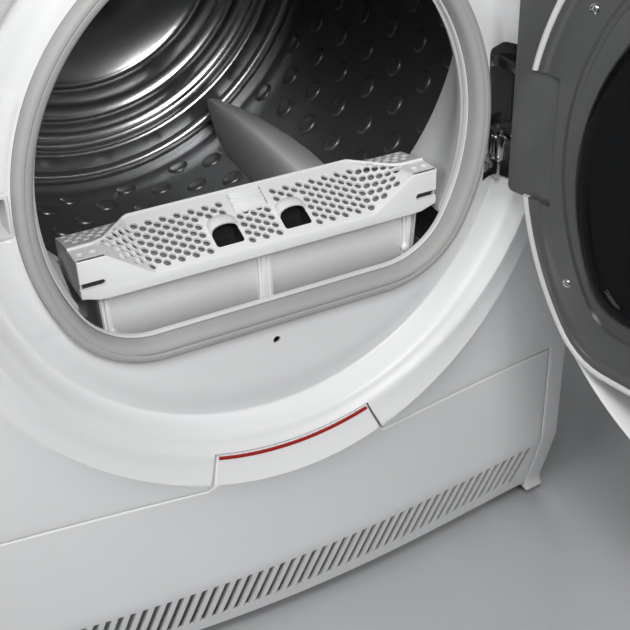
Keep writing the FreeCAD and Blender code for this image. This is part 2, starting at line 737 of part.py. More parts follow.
def filter_body(shrink):
    """The filter's body outline, with walls taken off by shrink."""
    out = [(x - math.copysign(shrink, x), z + (shrink if z == 150 else 0)) for x, z in FILTER_OUT]
    side = [(y + (shrink if y < 60 else -shrink), z + (shrink if z == 150 else 0))
            for y, z in FILTER_SIDE]
    return prism_xz(out, (20, 90)).common(prism_yz(side, (-160, 160)))


WINDOWS = [(-112, -7), (7, 112)]
WINDOW_Z = (170, 284)


def filter_frame():
    top = filter_top_solid(3.0)
    body = filter_body(0.0).common(top)
    hollow = filter_body(3.0)
    shell = minus(body, hollow)
    cuts = []
    for x in WINDOWS:
        cuts.append(box(x, (20, 50), WINDOW_Z))
        cuts.append(box(x, (70, 90), WINDOW_Z))
    for side in (-1, 1):
        cuts.append(box(sorted((side * 134.5, side * 150)), (20, 40), (316, 319)))
    return lifted(minus(shell, *cuts), LIFT)


POCKET_X = [(-40.0, -17.0), (17.0, 40.0)]
POCKET_Y = (39.0, 56.0)


def filter_grille():
    skin = filter_top_solid(0.0).common(prism_xz(FILTER_OUT, FILTER_Y))
    skin = minus(skin, filter_top_solid(3.0))
    cups = []
    cuts = []
    for x in POCKET_X:
        cups.append(box((x[0] - 2, x[1] + 2), (POCKET_Y[0] - 2, POCKET_Y[1] + 2), (299.5, HOME_TOP)))
        cuts.append(box(x, POCKET_Y, (301.5, HOME_TOP + 5)))
    cups = [c.common(filter_top_solid(0.0)) for c in cups]
    rest = minus(join([skin] + cups), *cuts)
    rest = minus(rest, box((-14, 14), (60, 77.3), (318, 340)))
    return lifted(rest, LIFT)


def filter_latch():
    base = box((-13.6, 13.6), (60.4, 76.9), (319, 326))
    ribs = [box((-13.6, 13.6), (61.0 + 4.2 * i, 63.4 + 4.2 * i), (325, 330)) for i in range(4)]
    latch = join([base] + ribs).common(filter_top_solid(-1.2))
    return lifted(latch, LIFT)


def filter_mesh():
    panes = []
    for x in WINDOWS:
        for y in ((44.6, 45.2), (77.0, 77.6)):
            panes.append(box((x[0] + 0.2, x[1] - 0.2), y, (WINDOW_Z[0] + 0.2, WINDOW_Z[1] - 0.2)))
    return lifted(Part.makeCompound(panes), LIFT)


# ---------- door, drawn closed and turned open ----------
DOOR_SLOT = ((209.0, 256.0), (-57.0, 0.0), (398.0, 500.0))
FLANGE_Y = (-13.0, -10.5)


def door_outer_ring():
    ring = spin([(DOOR_R, -13.0), (DOOR_R, -46), (DOOR_R - 8, -55), (188, -61), (188, -57.4), (DOOR_R - 10, -51.6),
                 (DOOR_R - 3.5, -44.4), (DOOR_R - 3.5, -13.0)], 0, ZC)
    slot = box(DOOR_SLOT[0], (-51.0, 0.0), DOOR_SLOT[2])
    return turned(minus(ring, slot), HINGE[0], HINGE[1], DOOR_OPEN)


def door_glass():
    dome = spin([(0, -68), (60, -67.4), (120, -65.4), (187.6, -61), (187.6, -57.6), (120, -61.8),
                 (60, -63.8), (0, -64.4)], 0, ZC)
    return turned(dome, HINGE[0], HINGE[1], DOOR_OPEN)


def plug_outline(shrink, radius, bottom):
    return d_outline((radius - shrink, bottom + shrink, PLUG[2] - shrink / 2))


def door_inner_frame():
    flange = rod_y(0, ZC, DOOR_R - 0.6, FLANGE_Y)
    outer = round_loft([(plug_outline(0, 172.0, 344.5), -12.0), (plug_outline(0, 170.5, 346.0), 8.0),
                        (plug_outline(0, 166.0, 350.0), PLUG_FACE_Y)])
    inner = round_loft([(plug_outline(3, 172.0, 344.5), -15.0), (plug_outline(3, 170.5, 346.0), 6.0),
                        (plug_outline(3, 166.0, 350.0), PLUG_FACE_Y - 3)])
    window = d_prism((140.0, 374.0, 40.0), (PLUG_FACE_Y - 20, PLUG_FACE_Y + 5))
    slot = box(DOOR_SLOT[0], (-30, 0), DOOR_SLOT[2])
    frame = minus(flange.fuse(outer), inner, window, slot)
    return turned(frame, HINGE[0], HINGE[1], DOOR_OPEN)


def door_window():
    pane = d_prism((146.0, 368.0, 44.0), (PLUG_FACE_Y - 8, PLUG_FACE_Y - 3.2))
    return turned(pane, HINGE[0], HINGE[1], DOOR_OPEN)


ARM_X = (217.0, 227.0)


def hinge_bracket():
    """Steel arm on the casing that reaches out to the door's pin."""
    x, y = HINGE
    plate = box((192.0, 231.0), (46, 50), (390, 496))
    arms = []
    for z in ((414.0, 424.0), (474.0, 484.0)):
        arm = box(ARM_X, (y, 47), z)
        arms.append(arm.fuse(rod_z(x, y, 6.0, z)))
    return minus(join([plate] + arms), rod_z(x, y, 3.05, (400, 500)))


def hinge_pin():
    return rod_z(HINGE[0], HINGE[1], 3.0, (402.0, 496.0))


def door_hinge_leaf():
    """Steel leaf inside the door, with the knuckle that turns on the pin."""
    x, y = HINGE
    knuckle = rod_z(x, y, 6.0, (425.0, 473.0))
    leaf = box((176.0, x), (y - 2, y + 2), (425.0, 473.0))
    plate = box((176.0, 206.0), (y - 2, FLANGE_Y[0]), (421.0, 477.0))
    plate = minus(plate, box((179.0, 209.0), (y + 2, FLANGE_Y[0] - 3), (415.0, 480.0)))
    leaf = minus(join([knuckle, leaf, plate]), rod_z(x, y, 3.05, (400, 500)))
    return turned(leaf, x, y, DOOR_OPEN)


HOOK_X = (-203.0, -196.0)


def door_latch_hook():
    stem = box(HOOK_X, (FLANGE_Y[1], 24), (453, 463))
    nose = prism_yz([(14, 463), (24, 463), (24, 465), (18, 468), (14, 468)], HOOK_X)
    foot = box((HOOK_X[0] - 6, HOOK_X[1] + 6), (FLANGE_Y[1], FLANGE_Y[1] + 2.5), (446, 470))
    return turned(join([stem, nose, foot]), HINGE[0], HINGE[1], DOOR_OPEN)


SCREW_ANGLES = (20, 60, 120, 160, 200, 240, 300, 340)


def door_screws():
    screws = []
    for angle in SCREW_ANGLES:
        a = math.radians(angle)
        x, z = 212 * math.sin(a), ZC + 212 * math.cos(a)
        head = rod_y(x, z, 3.6, (FLANGE_Y[1], FLANGE_Y[1] + 1.8))
        cross = box((x - 2.4, x + 2.4), (FLANGE_Y[1] + 0.9, 0), (z - 0.5, z + 0.5))
        screws.append(minus(head, cross))
    return turned(Part.makeCompound(screws), HINGE[0], HINGE[1], DOOR_OPEN)


# ---------- rear and fasteners ----------
def mains_inlet():
    gland = minus(rod_y(235, 140, 9.0, (626, 646)), rod_y(235, 140, 4.2, (620, 650)))
    nut = minus(rod_y(235, 140, 14, (REAR, 641)), rod_y(235, 140, 8.9, (620, 650)))
    return gland.fuse(nut)


def drain_spigot():
    tube = minus(rod_y(-235, 140, 9.0, (620, 662)), rod_y(-235, 140, 6.5, (610, 670)))
    flange = minus(rod_y(-235, 140, 16, (REAR, 638)), rod_y(-235, 140, 8.9, (620, 650)))
    return tube.fuse(flange)


PARTS = {
    "base_tray": base_tray(),
    "levelling_feet": levelling_feet(),
    "left_side_panel": left_side_panel(),
    "right_side_panel": mirror_x(left_side_panel()),
    "rear_panel": rear_panel(),
    "top_cover": top_cover(),
    "front_panel": front_panel(),
    "hinge_cover_plate": hinge_cover_plate(),
    "latch_strike": latch_strike(),
    "control_panel": control_panel(),
    "display_lens": display_lens(),
    "control_board": control_board(),
    "program_knob": program_knob(),
    "power_button": push_button(BUTTON_X[0]),
    "start_button": push_button(BUTTON_X[1]),
    "container_front": container_front(),
    "water_container": water_container(),
    "container_shelf": container_shelf(),
    "plinth_flap": plinth_flap(),
    "accent_strip": accent_strip(),
    "flap_pins": flap_pins(),
    "door_seal": door_seal(),
    "front_shroud": front_shroud(),
    "filter_duct": filter_duct(),
    "front_bulkhead": front_bulkhead(),
    "drum_shell": drum_shell(),
    "drum_rear_wall": drum_rear_wall(),
    "drum_shaft": drum_shaft(),
    "drum_lifters": drum_lifters(),
    "drum_felt": drum_felt(),
    "rear_bulkhead": rear_bulkhead(),
    "drum_bearing": drum_bearing(),
    "rear_duct": rear_duct(),
    "support_roller_left": support_roller(-1),
    "support_roller_right": support_roller(1),
    "roller_pins": roller_pins(),
    "drive_belt": drive_belt(),
    "idler_pulley": idler_pulley(),
    "motor": motor(),
    "motor_shaft": motor_shaft(),
    "fan_wheel": fan_wheel(),
    "fan_housing": fan_housing(),
    "compressor": compressor(),
    "evaporator": fin_block((104.0, 196.0)),
    "condenser": fin_block((214.0, 336.0)),
    "filter_frame": filter_frame(),
    "filter_grille": filter_grille(),
    "filter_latch": filter_latch(),
    "filter_mesh": filter_mesh(),
    "door_outer_ring": door_outer_ring(),
    "door_glass": door_glass(),
    "door_inner_frame": door_inner_frame(),
    "door_window": door_window(),
    "hinge_bracket": hinge_bracket(),
    "hinge_pin": hinge_pin(),
    "door_hinge_leaf": door_hinge_leaf(),
    "door_latch_hook": door_latch_hook(),
    "door_screws": door_screws(),
    "mains_inlet": mains_inlet(),
    "drain_spigot": drain_spigot(),
}

os.makedirs("parts", exist_ok=True)
whole = FreeCAD.BoundBox()
for name, shape in PARTS.items():
    placed = shape.translated(ROW_SHIFT)
    whole.add(placed.BoundBox)
    placed.exportStep("parts/" + name + ".step")
    print(name, "solids", len(placed.Solids), "valid", placed.isValid(), "cm3",
          round(placed.Volume / 1000, 1))
print(len(PARTS), "parts; box", [round(v, 2) for v in
      (whole.XMin, whole.XMax, whole.YMin, whole.YMax, whole.ZMin, whole.ZMax)])
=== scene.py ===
import math

import bmesh
import bpy
from mathutils import Matrix, Vector


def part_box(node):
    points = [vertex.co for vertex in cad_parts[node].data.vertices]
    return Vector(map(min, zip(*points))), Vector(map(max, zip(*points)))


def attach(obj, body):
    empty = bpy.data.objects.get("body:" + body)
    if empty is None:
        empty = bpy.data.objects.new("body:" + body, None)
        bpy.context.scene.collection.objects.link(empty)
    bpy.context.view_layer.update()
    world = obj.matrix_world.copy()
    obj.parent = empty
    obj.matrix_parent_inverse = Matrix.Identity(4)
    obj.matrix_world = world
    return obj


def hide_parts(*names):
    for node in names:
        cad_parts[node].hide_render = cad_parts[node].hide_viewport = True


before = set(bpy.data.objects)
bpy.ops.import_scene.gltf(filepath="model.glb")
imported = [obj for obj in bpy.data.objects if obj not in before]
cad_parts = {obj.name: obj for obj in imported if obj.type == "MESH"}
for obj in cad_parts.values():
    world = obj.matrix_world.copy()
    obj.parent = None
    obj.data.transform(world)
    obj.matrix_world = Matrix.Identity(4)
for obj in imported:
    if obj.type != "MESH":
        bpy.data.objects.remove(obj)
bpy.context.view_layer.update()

# Shapes are drawn in the casing's frame, in millimetres: x from the casing's middle,
# y backwards from the middle of the front face, z up from the floor.
MM = 0.001
WELD_DISTANCE = 2e-6
REAR = 636.0
top_low, top_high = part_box("top_cover")
SHIFT = Vector(((top_low.x + top_high.x) / 2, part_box("rear_panel")[1].y - REAR * MM, 0))

HALF = 298.0
OPENING_Z = 449.0
RIDGE_R = 236.4
CREASE_R = 258.5
SEAL_OUT = (188.4, 317.4, 82.4)
SEAL_IN = (174.9, 333.5, 62.6)
DRUM_Z = 528.0
DRUM_R = 275.0
DRUM_BACK = 470.0
LIFTER_ANGLE = 33.0
HINGE = (222.0, -38.5)
DOOR_OPEN = 99.5


# ---------- shapes
def grid(rows, closed=False):
    """Surface through rows of points, all of one length; closed joins each row's ends."""
    count = len(rows[0])
    points = [p for row in rows for p in row]
    faces = []
    for r in range(len(rows) - 1):
        for c in range(count if closed else count - 1):
            d = (c + 1) % count
            faces.append((r * count + c, r * count + d, (r + 1) * count + d, (r + 1) * count + c))
    return points, faces


def combine(*shapes):
    """One shape out of several."""
    points, faces = [], []
    for more, linked in shapes:
        start = len(points)
        points += list(more)
        faces += [tuple(i + start for i in f) for f in linked]
    return points, faces


def moved(shape, change):
    """The shape with change applied to every point."""
    return [change(p) for p in shape[0]], shape[1]


def capped(shape, count):
    """Closes a grid with closed rows at its first and last row."""
    points, faces = shape
    last = len(points) - count
    return points, faces + [tuple(range(count)), tuple(range(last, last + count))]


def end_capped(shape, count):
    """Closes a grid with closed rows at its last row only."""
    points, faces = shape
    return points, faces + [tuple(range(len(points) - count, len(points)))]


def turns(count):
    """Angles of equal steps round a circle."""
    return [2 * math.pi * i / count for i in range(count)]


def polar(r, angle, x=0.0, z=0.0):
    """Point at distance r from x, z, its angle taken from +Z towards +X."""
    return x + r * math.sin(angle), z + r * math.cos(angle)


def about_opening(r, angle):
    """Point at distance r from the opening's middle."""
    return polar(r, angle, 0.0, OPENING_Z)


def circle(x, z, r, count=32):
    return [polar(r, t, x, z) for t in turns(count)]


def lathe(profile, x, z, count=96, loop=False):
    """Turned surface about the Y line through x, z; profile is (radius, y) points."""
    line = profile + profile[:1] if loop else profile
    rows = [[(px, y, pz) for px, pz in circle(x, z, r, count)] for r, y in line]
    return grid(rows, closed=True)


def prism(outline, start, end, along="y"):
    """Solid with a flat outline: x, z points carried along y, or y, z along x, or x, y along z."""
    place = {"y": lambda p, t: (p[0], t, p[1]), "x": lambda p, t: (t, p[0], p[1]),
             "z": lambda p, t: (p[0], p[1], t)}[along]
    rows = [[place(p, t) for p in outline] for t in (start, end)]
    return capped(grid(rows, closed=True), len(outline))


def block(x, y, z):
    """Box between the two values of each axis."""
    return prism([(x[0], z[0]), (x[1], z[0]), (x[1], z[1]), (x[0], z[1])], y[0], y[1])


def bevelled(shape, width, segments=2, limit=30):
    """The shape with every edge sharper than limit degrees rounded."""
    bm = bmesh.new()
    verts = [bm.verts.new(p) for p in shape[0]]
    for f in shape[1]:
        bm.faces.new([verts[i] for i in f])
    bmesh.ops.recalc_face_normals(bm, faces=bm.faces)
    edges = [e for e in bm.edges if e.is_manifold and e.calc_face_angle(0) > math.radians(limit)]
    bmesh.ops.bevel(bm, geom=edges, offset=width, segments=segments, profile=0.5, affect="EDGES")
    bm.verts.index_update()
    points = [tuple(v.co) for v in bm.verts]
    faces = [tuple(v.index for v in f.verts) for f in bm.faces]
    bm.free()
    return points, faces


def bar(x, y, z, width, segments=2):
    """Box with rounded edges."""
    return bevelled(block(x, y, z), width, segments)


def rounded_path(points, radii, step=0.6):
    """Polyline with its inner corners replaced by arcs of the given radii."""
    path = [points[0]]
    for i in range(1, len(points) - 1):
        here, radius = Vector(points[i]), radii[i]
        before = (Vector(points[i - 1]) - here).normalized()
        after = (Vector(points[i + 1]) - here).normalized()
        half = before.angle(after) / 2
        if radius <= 0 or half > math.radians(89):
            path.append(points[i])
            continue
        reach = radius / math.tan(half)
        centre = here + (before + after).normalized() * (radius / math.sin(half))
        a, b = here + before * reach - centre, here + after * reach - centre
        count = max(2, int(radius * (math.pi - 2 * half) / step))
        for k in range(count + 1):
            t = k / count
            spot = a * (1 - t) + b * t
            path.append(tuple(centre + spot.normalized() * radius))
    path.append(points[-1])
    return path


def respaced(path, step):
    """The path with points added so that none are further apart than step."""
    out = [path[0]]
    for a, b in zip(path, path[1:]):
        count = max(1, math.ceil(math.dist(a, b) / step))
        out += [tuple(a[k] + (b[k] - a[k]) * i / count for k in range(len(a)))
                for i in range(1, count + 1)]
    return out


def outward(path):
    """Unit normals on the left of a path's direction, averaged at each point."""
    normals = []
    for i in range(len(path)):
        a, b = path[max(0, i - 1)], path[min(len(path) - 1, i + 1)]
        dx, dz = b[0] - a[0], b[1] - a[1]
        length = math.hypot(dx, dz)
        normals.append((-dz / length, dx / length))
    return normals


def blend_between(x, known):
    """Linear interpolation through (position, value) pairs."""
    if x <= known[0][0]:
        return known[0][1]
    for (a, va), (b, vb) in zip(known, known[1:]):
        if x <= b:
            return va + (vb - va) * (x - a) / (b - a)
    return known[-1][1]


# ---------- pieces
def linked(name, data):
    """New object in the scene with the given mesh, light or camera data."""
    obj = bpy.data.objects.new(name, data)
    bpy.context.scene.collection.objects.link(obj)
    return obj


def solid(name, shape):
    """Object made from a shape, moved into the shared frame."""
    mesh = bpy.data.meshes.new(name)
    mesh.from_pydata([SHIFT + Vector(p) * MM for p in shape[0]], [], shape[1])
    obj = linked(name, mesh)
    weld(obj)
    return obj


def weld(obj):
    """Joins points that lie on each other and points all normals outwards."""
    bm = bmesh.new()
    bm.from_mesh(obj.data)
    bmesh.ops.remove_doubles(bm, verts=bm.verts, dist=WELD_DISTANCE)
    bmesh.ops.recalc_face_normals(bm, faces=bm.faces)
    bm.to_mesh(obj.data)
    bm.free()


def settle(obj):
    """Puts the result of an object's modifiers into its mesh."""
    bpy.context.view_layer.update()
    mesh = bpy.data.meshes.new_from_object(obj.evaluated_get(bpy.context.evaluated_depsgraph_get()))
    obj.modifiers.clear()
    obj.data = mesh


def thicken(obj, wall):
    """Gives an open surface a wall on its back side."""
    solidify = obj.modifiers.new("wall", "SOLIDIFY")
    solidify.thickness = wall * MM
    solidify.offset = -1
    settle(obj)


def sheet(name, shape, wall, facing_up=False):
    """Object made from an open surface with a wall behind it, or below it if facing up."""
    obj = solid(name, shape)
    if facing_up and sum(p.normal.z for p in obj.data.polygons) < 0:
        obj.data.flip_normals()
    thicken(obj, wall)
    return obj


def carve(obj, *shapes, crossing=False):
    """Cuts shapes out of a piece; crossing allows cutters that overlap each other."""
    cutter = solid(obj.name + "_cutter", combine(*shapes))
    boolean = obj.modifiers.new("carve", "BOOLEAN")
    boolean.use_self = crossing
    boolean.operation = "DIFFERENCE"
    boolean.solver = "EXACT"
    boolean.object = cutter
    settle(obj)
    bpy.data.objects.remove(cutter)


def dress(obj, look, body, replaced=(), sharp=32):
    """Gives a piece its finish, shading and body, and hides the CAD nodes it stands for."""
    obj.data.materials.clear()
    obj.data.materials.append(look)
    for polygon in obj.data.polygons:
        polygon.use_smooth = True
    obj.data.set_sharp_from_angle(angle=math.radians(sharp))
    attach(obj, body)
    if replaced:
        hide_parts(*replaced)


def piece(name, shape, look, body, replaced=(), sharp=32):
    """Finished piece straight from a shape."""
    dress(solid(name, shape), look, body, replaced, sharp)


# ---------- finishes
def node(tree, kind, values=None):
    """Adds a shader node and sets some of its inputs."""
    made = tree.nodes.new("ShaderNode" + kind)
    for name, value in (values or {}).items():
        made.inputs[name].default_value = value
    return made


def finish(name, colour, roughness, metallic=0.0, grain=1400.0, depth=0.02, tone=0.03,
           stretch=(1.0, 1.0, 1.0), coat=0.0, specular=0.5, spread=0.05):
    """Procedural finish: broad tone changes, fine grain in bump and in roughness."""
    material = bpy.data.materials.new(name)
    material.use_nodes = True
    tree = material.node_tree
    join = tree.links.new
    shader = tree.nodes["Principled BSDF"]
    shader.inputs["Metallic"].default_value = metallic
    shader.inputs["Specular IOR Level"].default_value = specular
    shader.inputs["Coat Weight"].default_value = coat
    shader.inputs["Coat Roughness"].default_value = 0.12
    coords = node(tree, "TexCoord")
    mapping = node(tree, "Mapping", {"Scale": stretch})
    broad = node(tree, "TexNoise", {"Scale": 9.0, "Detail": 3.0})
    fine = node(tree, "TexNoise", {"Scale": grain, "Detail": 3.0})
    ramp = node(tree, "ValToRGB")
    dark, light = ramp.color_ramp.elements
    dark.position, light.position = 0.3, 0.7
    dark.color = [c * (1 - tone) for c in colour] + [1]
    light.color = [min(1, c * (1 + tone)) for c in colour] + [1]
    gloss = node(tree, "MapRange", {"To Min": max(0.02, roughness - spread),
                                    "To Max": roughness + spread})
    bump = node(tree, "Bump", {"Strength": 0.5, "Distance": depth * MM})
    join(coords.outputs["Object"], mapping.inputs["Vector"])
    join(mapping.outputs["Vector"], broad.inputs["Vector"])
    join(mapping.outputs["Vector"], fine.inputs["Vector"])
    join(broad.outputs["Fac"], ramp.inputs["Fac"])
    join(ramp.outputs["Color"], shader.inputs["Base Color"])
    join(fine.outputs["Fac"], gloss.inputs["Value"])
    join(gloss.outputs["Result"], shader.inputs["Roughness"])
    join(fine.outputs["Fac"], bump.inputs["Height"])
    join(bump.outputs["Normal"], shader.inputs["Normal"])
    return material


WHITE = (0.86, 0.865, 0.87)
white_plastic = finish("white_plastic", WHITE, 0.34, grain=1800, depth=0.010, tone=0.012)
white_steel = finish("white_steel", WHITE, 0.28, grain=700, depth=0.014, tone=0.012, coat=0.3)
filter_white = finish("filter_white", (0.90, 0.905, 0.91), 0.42, grain=2200, depth=0.02, tone=0.015)
collar_grey = finish("collar_grey", (0.50, 0.505, 0.505), 0.42, grain=1600, depth=0.02)
lip_grey = finish("lip_grey", (0.72, 0.725, 0.725), 0.35, grain=1600, depth=0.02)
mid_grey = finish("mid_grey", (0.24, 0.245, 0.245), 0.48, grain=1500, depth=0.04, tone=0.05)
shell_grey = finish("shell_grey", (0.62, 0.625, 0.625), 0.45, grain=1500, depth=0.03)
dark_grey = finish("dark_grey", (0.10, 0.102, 0.104), 0.22, grain=1400, depth=0.006, specular=0.4)
black_plastic = finish("black_plastic", (0.02, 0.02, 0.022), 0.45, grain=1300, depth=0.04)
rubber = finish("rubber", (0.42, 0.415, 0.41), 0.55, grain=1900, depth=0.05, tone=0.05,
                specular=0.35)
black_rubber = finish("black_rubber", (0.02, 0.02, 0.02), 0.62, grain=1500, depth=0.06)
galvanised = finish("galvanised", (0.50, 0.52, 0.53), 0.36, metallic=0.9, grain=160, depth=0.02,
                    tone=0.10)
drum_steel = finish("drum_steel", (0.25, 0.255, 0.26), 0.36, metallic=0.75, grain=500, depth=0.012,
                    tone=0.08, stretch=(1.0, 0.08, 1.0))
rear_steel = finish("rear_steel", (0.50, 0.505, 0.51), 0.20, metallic=0.9, grain=400, depth=0.010,
                    tone=0.08)
polished = finish("polished", (0.62, 0.63, 0.64), 0.16, metallic=1.0, grain=900, depth=0.004,
                  tone=0.05)
lifter_grey = finish("lifter_grey", (0.85, 0.855, 0.86), 0.45, grain=1500, depth=0.04, tone=0.05)
black_glass = finish("black_glass", (0.006, 0.006, 0.007), 0.06, grain=300, depth=0.001,
                     specular=0.2, spread=0.02)
smoked_glass = finish("smoked_glass", (0.006, 0.0065, 0.007), 0.10, grain=300, depth=0.001,
                      specular=0.12, spread=0.03)
accent_red = finish("accent_red", (0.36, 0.010, 0.006), 0.35, grain=1500, depth=0.01, coat=0.4)
felt = finish("felt", (0.28, 0.28, 0.28), 0.9, grain=1100, depth=0.4, tone=0.12)
circuit_green = finish("circuit_green", (0.02, 0.13, 0.05), 0.4, grain=260, depth=0.05, tone=0.3)
aluminium_fins = finish("aluminium_fins", (0.72, 0.73, 0.74), 0.3, metallic=1.0, grain=800,
                        depth=0.03, tone=0.08, stretch=(6.0, 1.0, 0.5))
black_paint = finish("black_paint", (0.015, 0.015, 0.017), 0.25, grain=260, depth=0.05, coat=0.4)


def node_of(tree, kind):
    return next(n for n in tree.nodes if n.type == kind)


def woven(name, colour, pitch):
    """Fine square mesh: two crossing sets of threads in bump, with painted shade lower down."""
    material = finish(name, colour, 0.5, grain=900, depth=0.1, tone=0.04)
    tree = material.node_tree
    cross = node(tree, "Math")
    cross.operation = "MAXIMUM"
    for i, axis in enumerate("XZ"):
        wave = node(tree, "TexWave", {"Scale": 1 / (pitch * MM * 20)})
        wave.bands_direction = axis
        tree.links.new(node_of(tree, "MAPPING").outputs["Vector"], wave.inputs["Vector"])
        tree.links.new(wave.outputs["Fac"], cross.inputs[i])
    tree.links.new(cross.outputs[0], node_of(tree, "BUMP").inputs["Height"])
    shade_by_height(tree)
    return material


def shade_by_height(tree):
    """Darkens a colour downwards: painted shade for the shadow that falls on the cloth's lower part.
    """
    join = tree.links.new
    base = tree.nodes["Principled BSDF"].inputs["Base Color"]
    split = node(tree, "SeparateXYZ")
    # painted shade: full colour above 0.352 m, down to a tenth of it below 0.300 m
    height = node(tree, "MapRange", {"From Min": 0.300, "From Max": 0.352, "To Min": 0.10,
                                     "To Max": 1.0})
    height.interpolation_type = "SMOOTHSTEP"
    mix = node(tree, "Mix")
    mix.data_type = "RGBA"
    mix.blend_type = "MULTIPLY"
    mix.inputs["Factor"].default_value = 1.0
    join(node_of(tree, "TEX_COORD").outputs["Object"], split.inputs["Vector"])
    join(split.outputs["Z"], height.inputs["Value"])
    join(base.links[0].from_socket, mix.inputs["A"])
    join(height.outputs["Result"], mix.inputs["B"])
    join(mix.outputs["Result"], base)


mesh_cloth = woven("mesh_cloth", (0.84, 0.845, 0.845), 0.7)


# ---------- front face
def bow(x):
    """How far the front bends back towards its sides."""
    u = (x / HALF) ** 2
    return 36.12 * u - 11.47 * u * u


PLINTH = [(12, 14.5), (21, 19.5), (21.01, 19.5), (45, 12.2), (66, 6.5), (91, 0.0), (92, 0.0)]
SWELL = 8.2
SWELL_FADE = 22.0
DISH = [(120, 20.0), (195, 22.0), (217, 32.8), (224, 12.0), (230, 9.0), (236.4, 3.4)]


def dish_profile():
    """The dish's section with its corners softened, as (radius, y) pairs."""
    half_window = 2.2
    out = []
    r = DISH[0][0]
    while r <= DISH[-1][0] + 1e-6:
        samples = [blend_between(r + half_window * k / 6, DISH) for k in range(-6, 7)]
        smooth = sum(samples) / len(samples)
        keep = max(0.0, (r - 234.2) / 2.2)
        out.append((r, smooth * (1 - keep) + blend_between(r, DISH) * keep))
        r += 0.5
    return out


DISH_SMOOTH = dish_profile()


def front_y(x, z):
    """Depth of the whole front face at x, z."""
    r = math.hypot(x, z - OPENING_Z)
    flat = bow(x) + blend_between(z, PLINTH)
    if r >= CREASE_R:
        return flat - SWELL * math.exp(-(r - CREASE_R) / SWELL_FADE)
    if r <= RIDGE_R:
        return blend_between(r, DISH_SMOOTH)
    t = (r - RIDGE_R) / (CREASE_R - RIDGE_R)
    rim = bow(CREASE_R * x / r) - SWELL
    return DISH[-1][1] * (1 - t) + rim * t + 0.9 * math.sin(math.pi * t)


def on_front(x, z, back=0.0):
    """Point on the front face, or back behind it."""
    return (x, front_y(x, z) + back, z)


def d_radius(angle, shape):
    """Distance from the opening's middle to a D outline, angle from straight up.

    The D is a circle cut off by a straight lower edge; shape is its radius, the height of that
    edge and the radius of its two lower corners.
    """
    radius, bottom, corner = shape
    cx = math.sqrt((radius - corner) ** 2 - (OPENING_Z - bottom - corner) ** 2)
    cz = bottom + corner
    turned = abs((angle + math.pi) % (2 * math.pi) - math.pi)
    if turned <= math.atan2(cx, cz - OPENING_Z):
        return radius
    if turned >= math.atan2(cx, bottom - OPENING_Z):
        return (bottom - OPENING_Z) / math.cos(turned)
    along = cx * math.sin(turned) + (cz - OPENING_Z) * math.cos(turned)
    across = cx ** 2 + (cz - OPENING_Z) ** 2 - along ** 2
    return along + math.sqrt(corner ** 2 - across)


def mixed(a, b, t):
    """The values of a moved the part t of the way to those of b."""
    return tuple(u + (v - u) * t for u, v in zip(a, b))


EDGE = 1.3
SKIRT = [(0.0, 0.0), (0.4, 0.1), (0.8, 0.42), (1.0, 1.0)]


def skirt(points, normals, depth, closed=False):
    """Rounded edge and return along a border; points are x, z on the face, inset by EDGE."""
    rows = []
    for (x, z), (nx, nz) in zip(points, normals):
        y = front_y(x, z)
        row = [(x + nx * EDGE * out, y + EDGE * back, z + nz * EDGE * out) for out, back in SKIRT]
        row.append((x + nx * EDGE, y + depth, z + nz * EDGE))
        rows.append(row)
    return grid(rows + rows[:1] if closed else rows)


def arc_points(radius, half_width, count):
    """Points on the opening's circle below it, from +half_width to -half_width."""
    reach = math.asin(half_width / radius)
    angles = [reach * (1 - 2 * i / count) for i in range(count + 1)]
    return [(radius * math.sin(a), OPENING_Z - radius * math.cos(a)) for a in angles]


GAP_X = 277.6
GAP_Z = 197.0
PANEL_TOP = 715.0
PANEL_FOOT = 12.0
TOP_CORNER = 8.0


def gap_border(half_bottom, half_top, radius, level, fillet, half_width):
    """Border between panel and flap from the right to the left, with the raised tab."""
    arc = arc_points(radius, half_top, 24)
    corners = [(half_width, level), (half_bottom, level)] + arc + [(-half_bottom, level),
                                                                  (-half_width, level)]
    radii = [0, fillet] + [0] * len(arc) + [fillet, 0]
    return respaced(rounded_path(corners, radii), 7.0)


# The face is drawn along lines from the opening outwards: parts of the way from the rim to the
# first of the fixed radii, the fixed radii, then parts of the way to the border.
INNER_STEPS = [0.0, 0.15, 0.3, 0.45, 0.6, 0.75, 0.9]
FACE_RADII = [213, 215, 216.2, 217, 218, 219.5, 221, 222.3, 223.4, 224.6, 226, 228, 229.4, 231,
              233, 235, RIDGE_R, 238.4, 241, 245, 249, 253, 256.5, CREASE_R]
OUTER_STEPS = [0.02, 0.05, 0.09, 0.14, 0.2, 0.28, 0.37, 0.48, 0.6, 0.73, 0.86, 1.0]
SIDE_LEVELS = [GAP_Z + EDGE, 180, 160, 140, 120, 104, 91, 84, 78, 70, 60, 50, 41, 32, 24, 18,
               PANEL_FOOT + EDGE]
HINGE_POCKET = ((190, 231.5), (-12, 66), (387, 500))
STRIKE_X = (-211.0, -189.2)
STRIKE_Z = (442.0, 474.0)
DRAIN_HOLE = (-3.1, 300.7)


def panel_seam():
    """Border points where the panel's side strip leaves its main face."""
    return respaced([(HALF - EDGE, GAP_Z + EDGE), (GAP_X + EDGE, GAP_Z + EDGE)], 5.0)


